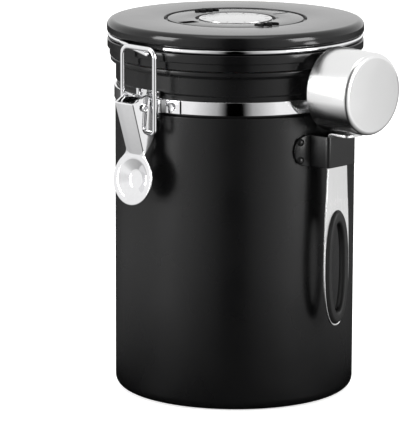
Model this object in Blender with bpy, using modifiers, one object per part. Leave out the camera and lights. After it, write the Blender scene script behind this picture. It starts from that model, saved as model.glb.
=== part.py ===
"""Coffee canister with a clamped lid, a date dial, a wire toggle latch and a clip-on scoop.

Metres, +Z up. The origin is the centre of the base, on the surface that the canister stands on.
The latch faces -Y and the lid's hinge is at +Y. The scoop hangs near +X.
"""

import math

import bmesh
import bpy
from mathutils import Matrix, Vector

# Shared values
CLEARANCE = 0.0003
OVERRUN = 0.001
MERGE_DISTANCE = 0.00001
ROUND_SEGMENTS = 44
MIDDLE_SEGMENTS = 32
VALVE_SEGMENTS = 18
SMALL_SEGMENTS = 12
FILLET_STEPS = 2
WIRE_RADIUS = 0.0012

# Canister body, a deep-drawn steel can with a groove for the band and a rolled rim
BODY_RADIUS = 0.0600
BODY_WALL = 0.0008
BASE_ROUNDING = 0.0048
BASE_BEAD_INSET = 0.0130
BASE_BEAD_WIDTH = 0.0040
BASE_BEAD_DEPTH = 0.0008
BAND_MIDDLE = 0.1505
GROOVE_DEPTH = 0.0010
GROOVE_FALL = 0.0041
GROOVE_RISE = 0.0055
GROOVE_SLOPE = 0.0009
NECK_INSET = 0.0003
NECK_RISE = 0.0183
NECK_FLARE = 0.0012
RIM_OVERHANG = 0.0023
RIM_HEIGHT = 0.0028
RIM_ROUNDING = 0.0010

# Neck band, with both ends folded round the rods of the latch base
BAND_THICKNESS = 0.0012
BAND_HEIGHT = 0.0066
BAND_KNUCKLE_RADIUS = 0.0021
BAND_KNUCKLE_HOLE = 0.00125
BAND_KNUCKLE_SIDE = 0.0085
BAND_FOLD_THICKNESS = 0.0010
BAND_FOLD_SIDE = 0.0180
BAND_ARC_STEPS = 26

# Lid base, the moulding that holds the gasket and the valve
LID_OVERHANG = 0.0039
LID_BASE_HEIGHT = 0.0044
LID_BASE_EDGE = 0.0005
LID_STEP_RISE = 0.0039
LID_STEP_INSET = 0.0011
LID_LIP_THICKNESS = 0.0006
LID_FLOOR_THICKNESS = 0.0026
PLUG_GAP = 0.0010
PLUG_SHOULDER_DROP = 0.0007
PLUG_TAPER = 0.0066
PLUG_DEPTH = 0.0058
PLUG_WALL = 0.0020
PLUG_TAPER_SHARES = (0.5, 0.48)

# Gasket
GASKET_HEIGHT = 0.0018
GASKET_EDGE = 0.0005

# Lid cover
COVER_HEIGHT = 0.00685
COVER_OVERHANG = 0.0002
COVER_NOSE = 0.0034
COVER_FOOT_INSET = 0.0031
COVER_LIP_ROUNDING = 0.0016
DIAL_WELL_RADIUS = 0.0356
DIAL_WELL_DEPTH = 0.0029
DIAL_WELL_EDGE = 0.0003

# Date dial, number ring and month disc in the lid's well
NUMBER_RING_INNER = 0.0215
NUMBER_RING_OUTER = 0.0345
NUMBER_RING_THICKNESS = 0.0006
MONTH_DISC_RADIUS = 0.0192
MONTH_DISC_SINK = 0.0001
MONTH_HUB_RADIUS = 0.0030
MONTH_HUB_DEPTH = 0.0012
MONTH_HUB_RISE = 0.0013
DIAL_SINK = 0.0002
DIAL_EDGE = 0.0003
DATE_WINDOW_MIDDLE = 0.0280
DATE_WINDOW_LENGTH = 0.0092
DATE_WINDOW_WIDTH = 0.0062
DATE_WINDOW_CORNER = 0.0008
SLIT_WINDOW_WIDTH = 0.0016
DATE_WINDOW_AZIMUTH = -102.0
SLIT_WINDOW_AZIMUTH = 80.0
FINGER_GRIP_AZIMUTHS = (-16.0, 163.0)
FINGER_GRIP_RADIUS = 0.0300
FINGER_GRIP_SPAN = 38.0
FINGER_GRIP_WIDTH = 0.0016
FINGER_GRIP_WAVE = 0.0006
FINGER_GRIP_WAVES = 4
FINGER_GRIP_HEIGHT = 0.0006
FINGER_GRIP_STEPS = 16
FINGER_GRIP_END_POWER = 0.4

# Valve that lets the beans' gas out, under the middle of the lid
VALVE_STEM_RADIUS = 0.0080
VALVE_STEM_RISE = 0.0011
VALVE_FLANGE_RADIUS = 0.0110
VALVE_FLANGE_THICKNESS = 0.0018
VALVE_CENTRE_HOLE = 0.0016
VALVE_GAS_HOLE = 0.0010
VALVE_GAS_CIRCLE = 0.0042
VALVE_GAS_HOLES = 4
FLAP_RADIUS = 0.0062
FLAP_THICKNESS = 0.0008
FLAP_STEM_RADIUS = 0.0013
FLAP_STEM_LENGTH = 0.0030
FILTER_RADIUS = 0.0090
FILTER_THICKNESS = 0.0006
VALVE_CAP_WALL = 0.0013
VALVE_CAP_EDGE = 0.0006
VALVE_CAP_HOLE = 0.0012
VALVE_CAP_CIRCLE = 0.0055
VALVE_CAP_HOLES = 6

# Screws that hold the cover on the lid base
LID_SCREWS = 4
LID_SCREW_INSET = 0.0073
LID_SCREW_SHANK = 0.0013
LID_SCREW_BITE = 0.0032
LID_SCREW_HEAD = 0.0028
LID_SCREW_HEAD_HEIGHT = 0.0014

# Lid ring, one wire that runs round the lid and through the hinge, and hooks the latch
RING_SIDE_GAP = 0.0004
RING_ROOF_GAP = 0.00015
RING_ARC_STEP = 8.5
RING_LEAVE_AZIMUTH = 155.0
RING_END_SIDE = -0.0040
HOOK_START_SIDE = -0.0208
HOOK_END_SIDE = 0.0047
HOOK_STAND = 0.0028
HOOK_DROP = 0.0032
HOOK_EASE = 3.2
HOOK_DROP_START_SHARE = 0.25
HOOK_DROP_POWER = 1.5
HOOK_STEPS = 8
RING_BEND = 0.0030

# Rear hinge
HINGE_ARM_REACH = 0.0060
HINGE_RISE = 0.0005
HINGE_LEG_SIDE = 0.0150
HINGE_PLATE_THICKNESS = 0.0010
HINGE_PLATE_HALF_HEIGHT = 0.0047
HINGE_BARREL_HOLE = 0.0015
HINGE_BARREL_RADIUS = 0.0024
HINGE_BARREL_HALF_LENGTH = 0.0105
HINGE_RIVET_SIDE = 0.0070
HINGE_RIVET_DROP = 0.0015

# Rivets
RIVET_HEAD_RADIUS = 0.0018
RIVET_HEAD_HEIGHT = 0.0009
RIVET_SHANK_RADIUS = 0.0010
RIVET_SHANK_LENGTH = 0.0012
HINGE_RIVET_SHARE = 0.8
RIVET_DOME_SHARES = (0.72, 0.66)

# Latch base
LATCH_PLATE_THICKNESS = 0.0010
LATCH_PLATE_GAP = 0.0004
LATCH_PLATE_HALF_WIDTH = 0.0096
LATCH_PLATE_HALF_HEIGHT = 0.0069
LATCH_PLATE_CORNER = 0.0015
LATCH_ROD_RADIUS = 0.0009
LATCH_WINDOW_MARGIN = 0.0004
LATCH_EAR_SIDE = 0.0042
LATCH_EAR_THICKNESS = 0.0010
LATCH_EAR_RADIUS = 0.0044
LATCH_EAR_FALL = 0.0043
LATCH_EAR_RISE = 0.0033
LATCH_EAR_START = -95.0
LATCH_EAR_END = 110.0

# Latch lever, in its own frame: s runs from the pivot to the thumb pad, n outwards
LEVER_PIVOT_STAND = 0.0109
LEVER_PIVOT_DROP = 0.0002
LEVER_TILT = 17.0
LEVER_THICKNESS = 0.0010
LEVER_FRONT = 0.0060
LEVER_FRONT_TOP_HALF_WIDTH = 0.0064
LEVER_FRONT_NECK_HALF_WIDTH = 0.0061
LEVER_REAR_TOP_HALF_WIDTH = 0.0076
LEVER_REAR_NECK_HALF_WIDTH = 0.0067
LEVER_FRONT_CHAMFER = 0.0008
LEVER_FRONT_TOP = -0.0039
LEVER_REAR_TOP = -0.0054
LEVER_REAR = -0.0039
LEVER_BELLY_BOTTOM = 0.0142
LEVER_HEEL = 0.0182
LEVER_HEEL_OUT = -0.0008
LEVER_NECK = 0.0227
LEVER_TONGUE = 0.0025
LEVER_PIN_RADIUS = 0.0013
LEVER_PIN_HEAD_RADIUS = 0.0020
LEVER_PIN_HEAD_THICKNESS = 0.0008
PAD_LIFT = 26.0
PAD_CENTRE = 0.0122
PAD_RADIUS = 0.0131
PAD_PROUD = 0.0001
PAD_DISH_RADIUS = 0.0100
PAD_DISH_FLOOR_RADIUS = 0.0044
PAD_DISH_DEPTH = 0.0030
PAD_EDGE = 0.0005

# Latch loop
LOOP_PIVOT_ALONG = 0.0131
LOOP_PIVOT_OUT = 0.0005
LOOP_HALF_WIDTH = 0.0110
LOOP_TOP_RISE = 0.0001
LOOP_BAR_STAND = 0.0022
LOOP_TOP_BEND = 0.0042
LOOP_FOOT_BEND = 0.0020
LOOP_END_SIDE = 0.0042

# Scoop bowl
SCOOP_AZIMUTH = 92.0
BOWL_RADIUS = 0.0221
BOWL_DEPTH = 0.0265
BOWL_WALL = 0.0008
BOWL_EDGE = 0.0036
BOWL_GAP = 0.0024
BOWL_RISE = 0.0070

# Scoop handle and its rubber grip
HANDLE_THICKNESS = 0.0012
HANDLE_STAND = 0.0089
HANDLE_TOP_HALF_WIDTH = 0.0070
HANDLE_HALF_WIDTH = 0.0097
HANDLE_EYE_DROP = 0.0683
HANDLE_END_RIM = 0.0011
HANDLE_END_POWER = 2.2
HANDLE_SIDE_STEPS = 7
HANDLE_END_STEPS = 9
HANDLE_RIM = 0.0012
HANDLE_TAB_LENGTH = 0.0130
HANDLE_BEND = 0.0010
GRIP_THICKNESS = 0.0040
GRIP_HALF_LENGTH = 0.0282
GRIP_SLOT_HALF_WIDTH = 0.0033
GRIP_SLOT_HALF_LENGTH = 0.0220
GRIP_EDGE = 0.0009
GRIP_POWER = 2.3
GRIP_STEPS = 24

# Scoop strap, the hat-shaped bracket that the handle drops into
STRAP_THICKNESS = 0.0012
STRAP_HEIGHT = 0.0156
STRAP_SLOT_DEPTH = 0.0114
STRAP_BEND = 0.0018
STRAP_HALF_SPAN = 0.0188
STRAP_CORNER = 0.0074
STRAP_RIVET_SIDE = 0.0150
STRAP_RIVET_RISE = 0.0045
STRAP_ARC_STEPS = 5

# Worked out from the values above
GROOVE_RADIUS = BODY_RADIUS - GROOVE_DEPTH
GROOVE_BOTTOM = BAND_MIDDLE - GROOVE_FALL
GROOVE_TOP = BAND_MIDDLE + GROOVE_RISE
NECK_RADIUS = BODY_RADIUS - NECK_INSET
RIM_RADIUS = BODY_RADIUS + RIM_OVERHANG
RIM_TOP = BAND_MIDDLE + NECK_RISE
RIM_BOTTOM = RIM_TOP - RIM_HEIGHT
NECK_TOP = RIM_BOTTOM - NECK_FLARE
BAND_INNER = GROOVE_RADIUS + CLEARANCE
BAND_OUTER = BAND_INNER + BAND_THICKNESS
BAND_BOTTOM = BAND_MIDDLE - BAND_HEIGHT / 2
BAND_TOP = BAND_MIDDLE + BAND_HEIGHT / 2
KNUCKLE_CENTRE_RADIUS = BAND_INNER + BAND_KNUCKLE_RADIUS
KNUCKLE_REACH = math.sqrt(KNUCKLE_CENTRE_RADIUS ** 2 - BAND_KNUCKLE_SIDE ** 2)
LID_BASE_RADIUS = BODY_RADIUS + LID_OVERHANG
LID_STEP_RADIUS = LID_BASE_RADIUS - LID_STEP_INSET
LID_STEP_HEIGHT = RIM_TOP + LID_STEP_RISE
LID_BASE_TOP = LID_STEP_HEIGHT + LID_BASE_HEIGHT
PLUG_RADIUS = NECK_RADIUS - BODY_WALL - PLUG_GAP
PLUG_FOOT_RADIUS = PLUG_RADIUS - PLUG_TAPER
PLUG_BOTTOM = RIM_TOP - PLUG_DEPTH
LID_SCREW_CIRCLE = PLUG_FOOT_RADIUS - PLUG_WALL - LID_SCREW_INSET
GASKET_BOTTOM = RIM_TOP + CLEARANCE
GASKET_RECESS_TOP = GASKET_BOTTOM + GASKET_HEIGHT + CLEARANCE
GASKET_INNER = PLUG_RADIUS + CLEARANCE
GASKET_OUTER = LID_STEP_RADIUS - LID_LIP_THICKNESS - CLEARANCE
LID_FLOOR_BOTTOM = LID_BASE_TOP - LID_FLOOR_THICKNESS
COVER_FOOT = LID_BASE_TOP + CLEARANCE
COVER_RADIUS = LID_BASE_RADIUS + COVER_OVERHANG
COVER_FOOT_RADIUS = COVER_RADIUS - COVER_FOOT_INSET
RING_RADIUS = COVER_FOOT_RADIUS + WIRE_RADIUS + RING_SIDE_GAP
RING_HEIGHT = LID_BASE_TOP + WIRE_RADIUS + CLEARANCE
COVER_BOTTOM = RING_HEIGHT + WIRE_RADIUS + RING_ROOF_GAP
COVER_TOP = COVER_BOTTOM + COVER_HEIGHT
HOOK_REACH = RING_RADIUS + HOOK_STAND
LOOP_TOP = RING_HEIGHT + LOOP_TOP_RISE
LOOP_TOP_REACH = HOOK_REACH + LOOP_BAR_STAND
WELL_FLOOR = COVER_TOP - DIAL_WELL_DEPTH
NUMBER_RING_BOTTOM = WELL_FLOOR + CLEARANCE
DIAL_BOTTOM = NUMBER_RING_BOTTOM + NUMBER_RING_THICKNESS + CLEARANCE
DIAL_TOP = COVER_TOP - DIAL_SINK
MONTH_DISC_TOP = COVER_TOP - MONTH_DISC_SINK
DIAL_OUTER = DIAL_WELL_RADIUS - CLEARANCE
DIAL_INNER = MONTH_DISC_RADIUS + CLEARANCE
VALVE_STEM_TOP = LID_BASE_TOP + VALVE_STEM_RISE
VALVE_FLANGE_TOP = LID_FLOOR_BOTTOM - CLEARANCE
VALVE_FLANGE_BOTTOM = VALVE_FLANGE_TOP - VALVE_FLANGE_THICKNESS
FILTER_TOP = VALVE_FLANGE_BOTTOM - CLEARANCE
FILTER_BOTTOM = FILTER_TOP - FILTER_THICKNESS
VALVE_CAP_FLOOR = FILTER_BOTTOM - CLEARANCE
VALVE_POCKET_TOP = VALVE_STEM_TOP + CLEARANCE + FLAP_THICKNESS + 2 * CLEARANCE
HINGE_REACH = BAND_OUTER + HINGE_ARM_REACH
HINGE_HEIGHT = BAND_MIDDLE + HINGE_RISE
HINGE_PLATE_BOTTOM = BAND_MIDDLE - HINGE_PLATE_HALF_HEIGHT
HINGE_PLATE_TOP = BAND_MIDDLE + HINGE_PLATE_HALF_HEIGHT
HINGE_RIVET_HEIGHT = BAND_MIDDLE - HINGE_RIVET_DROP
HINGE_PLATE_FRONT = BAND_OUTER + CLEARANCE
HINGE_PLATE_BACK = HINGE_PLATE_FRONT + HINGE_PLATE_THICKNESS
LATCH_PLATE_BOTTOM = BAND_MIDDLE - LATCH_PLATE_HALF_HEIGHT
LATCH_PLATE_TOP = BAND_MIDDLE + LATCH_PLATE_HALF_HEIGHT
LEVER_PIVOT_REACH = BODY_RADIUS + LEVER_PIVOT_STAND
LEVER_PIVOT_HEIGHT = BAND_MIDDLE - LEVER_PIVOT_DROP
LATCH_EAR_BOTTOM = LEVER_PIVOT_HEIGHT - LATCH_EAR_FALL
LATCH_EAR_TOP = LEVER_PIVOT_HEIGHT + LATCH_EAR_RISE
LATCH_PLATE_BACK = BODY_RADIUS + LATCH_PLATE_GAP
LATCH_PLATE_FACE = LATCH_PLATE_BACK + LATCH_PLATE_THICKNESS
HANDLE_REACH = BODY_RADIUS + HANDLE_STAND
HANDLE_INNER = HANDLE_REACH - HANDLE_THICKNESS / 2
STRAP_INNER_HALF = HANDLE_HALF_WIDTH + CLEARANCE
STRAP_FLANGE_INNER = BODY_RADIUS + CLEARANCE
STRAP_FLANGE_OUTER = STRAP_FLANGE_INNER + STRAP_THICKNESS
STRAP_FACE_INNER = BODY_RADIUS + STRAP_SLOT_DEPTH
STRAP_FACE = STRAP_FACE_INNER + STRAP_THICKNESS
BOWL_REACH = COVER_RADIUS + BOWL_GAP
BOWL_HEIGHT = BAND_MIDDLE + BOWL_RISE
BOWL_BOTTOM = BOWL_HEIGHT - BOWL_RADIUS
HANDLE_TAB_TOP = BOWL_BOTTOM - CLEARANCE
HANDLE_TAB_BOTTOM = HANDLE_TAB_TOP - HANDLE_THICKNESS
HANDLE_MIDDLE = HANDLE_TAB_TOP - HANDLE_EYE_DROP
HANDLE_BOTTOM = HANDLE_MIDDLE - GRIP_HALF_LENGTH - CLEARANCE - HANDLE_END_RIM
STRAP_TOP = HANDLE_TAB_BOTTOM - CLEARANCE
STRAP_MIDDLE = STRAP_TOP - STRAP_HEIGHT / 2
UP = Vector((0, 0, 1))
PAD_BEND = Matrix.Rotation(math.radians(-PAD_LIFT), 4, "X")

# Colour, roughness and metallic value of each finish
FINISHES = {
    "satin_black_coat": ((0.018, 0.018, 0.019), 0.42, 0.0),
    "gloss_black_plastic": ((0.012, 0.012, 0.013), 0.18, 0.0),
    "grey_dial_plastic": ((0.30, 0.30, 0.31), 0.35, 0.3),
    "silver_disc": ((0.70, 0.70, 0.70), 0.30, 0.8),
    "white_print_ring": ((0.75, 0.75, 0.74), 0.55, 0.0),
    "polished_steel": ((0.80, 0.80, 0.80), 0.12, 1.0),
    "brushed_steel": ((0.62, 0.62, 0.61), 0.32, 1.0),
    "black_rubber": ((0.020, 0.020, 0.020), 0.65, 0.0),
    "silicone": ((0.62, 0.62, 0.60), 0.50, 0.0),
    "filter_mesh": ((0.72, 0.71, 0.68), 0.60, 0.0),
}


def clear_scene():
    """Removes every object that the file holds."""
    for obj in list(bpy.data.objects):
        bpy.data.objects.remove(obj, do_unlink=True)


def new_collection(name):
    """Makes a collection in the scene."""
    collection = bpy.data.collections.new(name)
    bpy.context.scene.collection.children.link(collection)
    return collection


def finish_material(name):
    """Returns the Principled material of one finish, made on its first use."""
    if name in bpy.data.materials:
        return bpy.data.materials[name]
    colour, roughness, metallic = FINISHES[name]
    material = bpy.data.materials.new(name)
    material.use_nodes = True
    shader = material.node_tree.nodes["Principled BSDF"]
    shader.inputs["Base Color"].default_value = (*colour, 1)
    shader.inputs["Roughness"].default_value = roughness
    shader.inputs["Metallic"].default_value = metallic
    material.diffuse_color = (*colour, 1)
    return material


def add_object(name, data, collection):
    """Links a new object with this data into a collection."""
    obj = bpy.data.objects.new(name, data)
    collection.objects.link(obj)
    return obj


def add_piece(name, data, finish):
    """Links one named piece of the canister, with its material."""
    obj = add_object(name, data, PIECES)
    obj.data.materials.append(finish_material(finish))
    return obj


def as_tool(obj):
    """Marks an object as a cutter or a guide, so that it is neither rendered nor counted."""
    obj.hide_render = True
    obj.display_type = "WIRE"
    return obj


def add_tool(name, data):
    """Links one cutter or guide."""
    return as_tool(add_object(name, data, CUTTERS))


def side_axes(azimuth):
    """Sideways and outward directions at an azimuth, counted from the latch towards +X."""
    angle = math.radians(azimuth)
    return Vector((math.cos(angle), math.sin(angle), 0)), Vector((math.sin(angle), -math.cos(angle), 0))


def frame_matrix(origin, x_axis, y_axis):
    """Matrix of a frame with this origin and these two axes."""
    z_axis = x_axis.cross(y_axis)
    rows = [(x_axis[i], y_axis[i], z_axis[i], origin[i]) for i in range(3)]
    return Matrix((*rows, (0, 0, 0, 1)))


def arc(centre, radius, start, end, steps):
    """Points along an arc from one angle to another, in degrees, both ends included."""
    angles = [math.radians(start + (end - start) * i / steps) for i in range(steps + 1)]
    return [(centre[0] + radius * math.cos(a), centre[1] + radius * math.sin(a)) for a in angles]


def rounded(corners, steps=FILLET_STEPS, closed=False):
    """A path through corners (point, fillet radius), in 2D or 3D, with an arc at each corner."""
    path = []
    for index, (corner, radius) in enumerate(corners):
        here = Vector(corner)
        ends = index in (0, len(corners) - 1) and not closed
        if not radius or ends:
            path.append(here)
            continue
        before = (Vector(corners[index - 1][0]) - here).normalized()
        after = (Vector(corners[(index + 1) % len(corners)][0]) - here).normalized()
        half_angle = before.angle(after) / 2
        start = here + before * radius / math.tan(half_angle)
        middle = here + (before + after).normalized() * radius / math.sin(half_angle)
        spoke = start - middle
        across = before * -radius
        sweep = math.pi - 2 * half_angle
        for step in range(steps + 1):
            turn = sweep * step / steps
            path.append(middle + spoke * math.cos(turn) + across * math.sin(turn))
    return [tuple(point) for point in path]


def profile_mesh(name, profile, closed):
    """A chain of edges in the XZ plane, from points (radius, height)."""
    mesh = bpy.data.meshes.new(name)
    count = len(profile)
    edges = [(i, i + 1) for i in range(count - 1)]
    if closed:
        edges.append((count - 1, 0))
    mesh.from_pydata([(r, 0, z) for r, z in profile], edges, [])
    return mesh


def add_screw(obj, segments):
    """Turns an object's profile once round its own Z axis."""
    screw = obj.modifiers.new("Turn", "SCREW")
    screw.axis = "Z"
    screw.angle = math.tau
    screw.steps = segments
    screw.render_steps = segments
    screw.use_merge_vertices = True
    screw.merge_threshold = MERGE_DISTANCE
    return obj


def turned(name, profile, finish, segments=ROUND_SEGMENTS, closed=True):
    """A turned piece. Its profile runs down the outer side, and up the inner side when closed."""
    return add_screw(add_piece(name, profile_mesh(name, profile, closed), finish), segments)


def turned_tool(name, profile, segments=SMALL_SEGMENTS, closed=False):
    """A turned cutter or guide."""
    return add_screw(add_tool(name, profile_mesh(name, profile, closed)), segments)


def outline_curve(name, loops, thickness):
    """A flat 2D curve filled between its closed loops and extruded to a thickness about its plane."""
    curve = bpy.data.curves.new(name, "CURVE")
    curve.dimensions = "2D"
    curve.fill_mode = "BOTH"
    curve.extrude = thickness / 2
    for loop in loops:
        spline = curve.splines.new("POLY")
        spline.points.add(len(loop) - 1)
        for point, (x, y) in zip(spline.points, loop):
            point.co = (x, y, 0, 1)
        spline.use_cyclic_u = True
    return curve


def wire_curve(name, path, radius):
    """A round wire along a path, with closed ends."""
    curve = bpy.data.curves.new(name, "CURVE")
    curve.dimensions = "3D"
    curve.bevel_depth = radius
    curve.bevel_resolution = 2
    curve.use_fill_caps = True
    spline = curve.splines.new("POLY")
    spline.points.add(len(path) - 1)
    for point, place in zip(spline.points, path):
        point.co = (*place, 1)
    return curve


def evaluated_mesh(obj):
    """A welded copy of an object's evaluated mesh, in its own frame."""
    bpy.context.view_layer.update()
    graph = bpy.context.evaluated_depsgraph_get()
    mesh = bpy.data.meshes.new_from_object(obj.evaluated_get(graph))
    work = bmesh.new()
    work.from_mesh(mesh)
    bmesh.ops.remove_doubles(work, verts=work.verts, dist=MERGE_DISTANCE)
    bmesh.ops.recalc_face_normals(work, faces=work.faces)
    work.to_mesh(mesh)
    work.free()
    return mesh


def curve_to_mesh(curve, name):
    """The welded mesh that a curve makes."""
    holder = add_object(name, curve, CUTTERS)
    mesh = evaluated_mesh(holder)
    bpy.data.objects.remove(holder, do_unlink=True)
    return mesh


def plate_mesh(name, loops, thickness):
    """A flat plate between closed loops, as a mesh about its own plane."""
    return curve_to_mesh(outline_curve(name, loops, thickness), name)


def copies_mesh(name, source, places):
    """One mesh that holds a copy of the source mesh at each matrix."""
    work = bmesh.new()
    for place in places:
        first = len(work.verts)
        work.from_mesh(source)
        work.verts.ensure_lookup_table()
        bmesh.ops.transform(work, matrix=place, verts=work.verts[first:])
    mesh = bpy.data.meshes.new(name)
    work.to_mesh(mesh)
    work.free()
    return mesh


def boolean(obj, tool, operation):
    """Cuts, joins or trims an object with another one."""
    modifier = obj.modifiers.new(tool.name, "BOOLEAN")
    modifier.operation = operation
    modifier.solver = "EXACT"
    modifier.object = tool
    return obj


def cylinder_mesh(name, radius, length, segments=SMALL_SEGMENTS):
    """A cylinder about its own Z axis, from zero to its length."""
    work = bmesh.new()
    bmesh.ops.create_cone(work, cap_ends=True, segments=segments, radius1=radius, radius2=radius, depth=length)
    bmesh.ops.translate(work, verts=work.verts, vec=(0, 0, length / 2))
    mesh = bpy.data.meshes.new(name)
    work.to_mesh(mesh)
    work.free()
    return mesh


def ring_places(count, radius, height, first=0.0):
    """Upright places spread round a circle."""
    places = []
    for index in range(count):
        angle = math.radians(first + 360 * index / count)
        places.append(Matrix.Translation((radius * math.cos(angle), radius * math.sin(angle), height)))
    return places


def circle_loop(centre, radius, steps=SMALL_SEGMENTS):
    """A closed round loop."""
    return arc(centre, radius, 0, 360 * (steps - 1) / steps, steps - 1)


def mirrored(half):
    """A closed outline from its right half, mirrored about x = 0 without doubling points on that line."""
    left = [(-x, y) for x, y in reversed(half) if abs(x) > MERGE_DISTANCE]
    return half + left


def attach(obj, parent):
    """Parents an object and keeps its place."""
    bpy.context.view_layer.update()
    obj.parent = parent
    obj.matrix_parent_inverse = parent.matrix_world.inverted()
    return obj


def joint_empty(name, place):
    """An empty on a joint's axis, which carries the moving pieces."""
    empty = add_object(name, None, PIECES)
    empty.location = place
    bpy.context.view_layer.update()
    return empty


def build_canister_body():
    """The can: a flat base with a pressed bead, a band groove, a neck and a rolled rim."""
    bead_middle = BODY_RADIUS - BASE_BEAD_INSET
    bead_inner = bead_middle - BASE_BEAD_WIDTH / 2
    bead_outer = bead_middle + BASE_BEAD_WIDTH / 2
    inner_radius = BODY_RADIUS - BODY_WALL
    inner_neck = NECK_RADIUS - BODY_WALL
    inner_groove = GROOVE_RADIUS - BODY_WALL
    corners = [
        ((0, BODY_WALL), 0),
        ((bead_inner, BODY_WALL), 0),
        ((bead_inner + BASE_BEAD_DEPTH, BODY_WALL + BASE_BEAD_DEPTH), 0),
        ((bead_outer - BASE_BEAD_DEPTH, BODY_WALL + BASE_BEAD_DEPTH), 0),
        ((bead_outer, BODY_WALL), 0),
        ((inner_radius, BODY_WALL), BASE_ROUNDING - BODY_WALL),
        ((inner_radius, GROOVE_BOTTOM - GROOVE_SLOPE), 0),
        ((inner_groove, GROOVE_BOTTOM), 0),
        ((inner_groove, GROOVE_TOP), 0),
        ((inner_neck, GROOVE_TOP + GROOVE_SLOPE), 0),
        ((inner_neck, RIM_TOP), RIM_ROUNDING),
        ((RIM_RADIUS, RIM_TOP), RIM_ROUNDING),
        ((RIM_RADIUS, RIM_BOTTOM), RIM_ROUNDING),
        ((NECK_RADIUS + BODY_WALL, RIM_BOTTOM), 0),
        ((NECK_RADIUS, NECK_TOP), 0),
        ((NECK_RADIUS, GROOVE_TOP + GROOVE_SLOPE), 0),
        ((GROOVE_RADIUS, GROOVE_TOP), 0),
        ((GROOVE_RADIUS, GROOVE_BOTTOM), 0),
        ((BODY_RADIUS, GROOVE_BOTTOM - GROOVE_SLOPE), 0),
        ((BODY_RADIUS, 0), BASE_ROUNDING),
        ((bead_outer, 0), 0),
        ((bead_outer - BASE_BEAD_DEPTH, BASE_BEAD_DEPTH), 0),
        ((bead_inner + BASE_BEAD_DEPTH, BASE_BEAD_DEPTH), 0),
        ((bead_inner, 0), 0),
        ((0, 0), 0),
    ]
    return turned("canister_body", rounded(corners), "satin_black_coat", closed=False)


def build_neck_band():
    """The band round the neck: an open strip whose ends fold back in an eye round a rod."""
    eye_angle = math.degrees(math.asin(BAND_KNUCKLE_SIDE / KNUCKLE_CENTRE_RADIUS))
    fold_radius = BAND_OUTER + BAND_FOLD_THICKNESS
    fold_angle = math.degrees(math.asin(BAND_FOLD_SIDE / fold_radius))
    eye = (BAND_KNUCKLE_SIDE, -KNUCKLE_REACH)
    inner = arc((0, 0), BAND_INNER, 90, eye_angle - 90, BAND_ARC_STEPS)
    eye_out = eye_angle - 90
    turn_on = math.degrees(math.asin((fold_radius - KNUCKLE_CENTRE_RADIUS) / BAND_KNUCKLE_RADIUS))
    round_eye = arc(eye, BAND_KNUCKLE_RADIUS, eye_out + 180, eye_out + 450 - turn_on, SMALL_SEGMENTS)[1:]
    fold_start = math.degrees(math.atan2(round_eye[-1][1], round_eye[-1][0]))
    fold = arc((0, 0), fold_radius, fold_start, fold_angle - 90, 2)[1:]
    outer = arc((0, 0), BAND_OUTER, fold_angle - 90, 90, BAND_ARC_STEPS)
    outline = mirrored(inner + round_eye + fold + outer)
    holes = [circle_loop((side * BAND_KNUCKLE_SIDE, -KNUCKLE_REACH), BAND_KNUCKLE_HOLE) for side in (1, -1)]
    band = add_piece("neck_band", plate_mesh("neck_band", [outline, *holes], BAND_HEIGHT), "polished_steel")
    band.location = (0, 0, BAND_MIDDLE)
    return band


def rivet_mesh(name, share=1.0):
    """One round-head rivet along +Z, its head's underside at zero."""
    head = RIVET_HEAD_RADIUS * share
    height = RIVET_HEAD_HEIGHT * share
    profile = [
        (0, height),
        (head * RIVET_DOME_SHARES[0], height * RIVET_DOME_SHARES[1]),
        (head, 0),
        (RIVET_SHANK_RADIUS, 0),
        (RIVET_SHANK_RADIUS, -RIVET_SHANK_LENGTH),
        (0, -RIVET_SHANK_LENGTH),
    ]
    return tool_mesh(turned_tool(name, profile))


def tool_mesh(tool):
    """The mesh that a guide makes; the guide itself is removed."""
    mesh = evaluated_mesh(tool)
    bpy.data.objects.remove(tool, do_unlink=True)
    return mesh


def add_fasteners(name, mesh, finish, places):
    """Links one numbered object at each place, all with the same mesh."""
    mesh.materials.append(finish_material(finish))
    fasteners = []
    for number, place in enumerate(places, 1):
        fastener = add_object(f"{name}_{number}", mesh, PIECES)
        fastener.matrix_world = place
        fasteners.append(fastener)
    return fasteners


def outward_place(azimuth, radius, height):
    """A place on a cylinder about the canister's axis, whose Z axis points outwards."""
    side, outward = side_axes(azimuth)
    return frame_matrix(outward * radius + UP * height, side, UP)


def drill(obj, name, radius, places, length):
    """Cuts a round hole through an object at each place, centred on the place's origin."""
    start = Matrix.Translation((0, 0, -length / 2))
    mesh = copies_mesh(name, cylinder_mesh(name, radius, length), [place @ start for place in places])
    return boolean(obj, add_tool(name, mesh), "DIFFERENCE")


def lid_screw_places(height):
    """The upright places of the lid's screws at one height."""
    return ring_places(LID_SCREWS, LID_SCREW_CIRCLE, height, 180 / LID_SCREWS)


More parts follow.
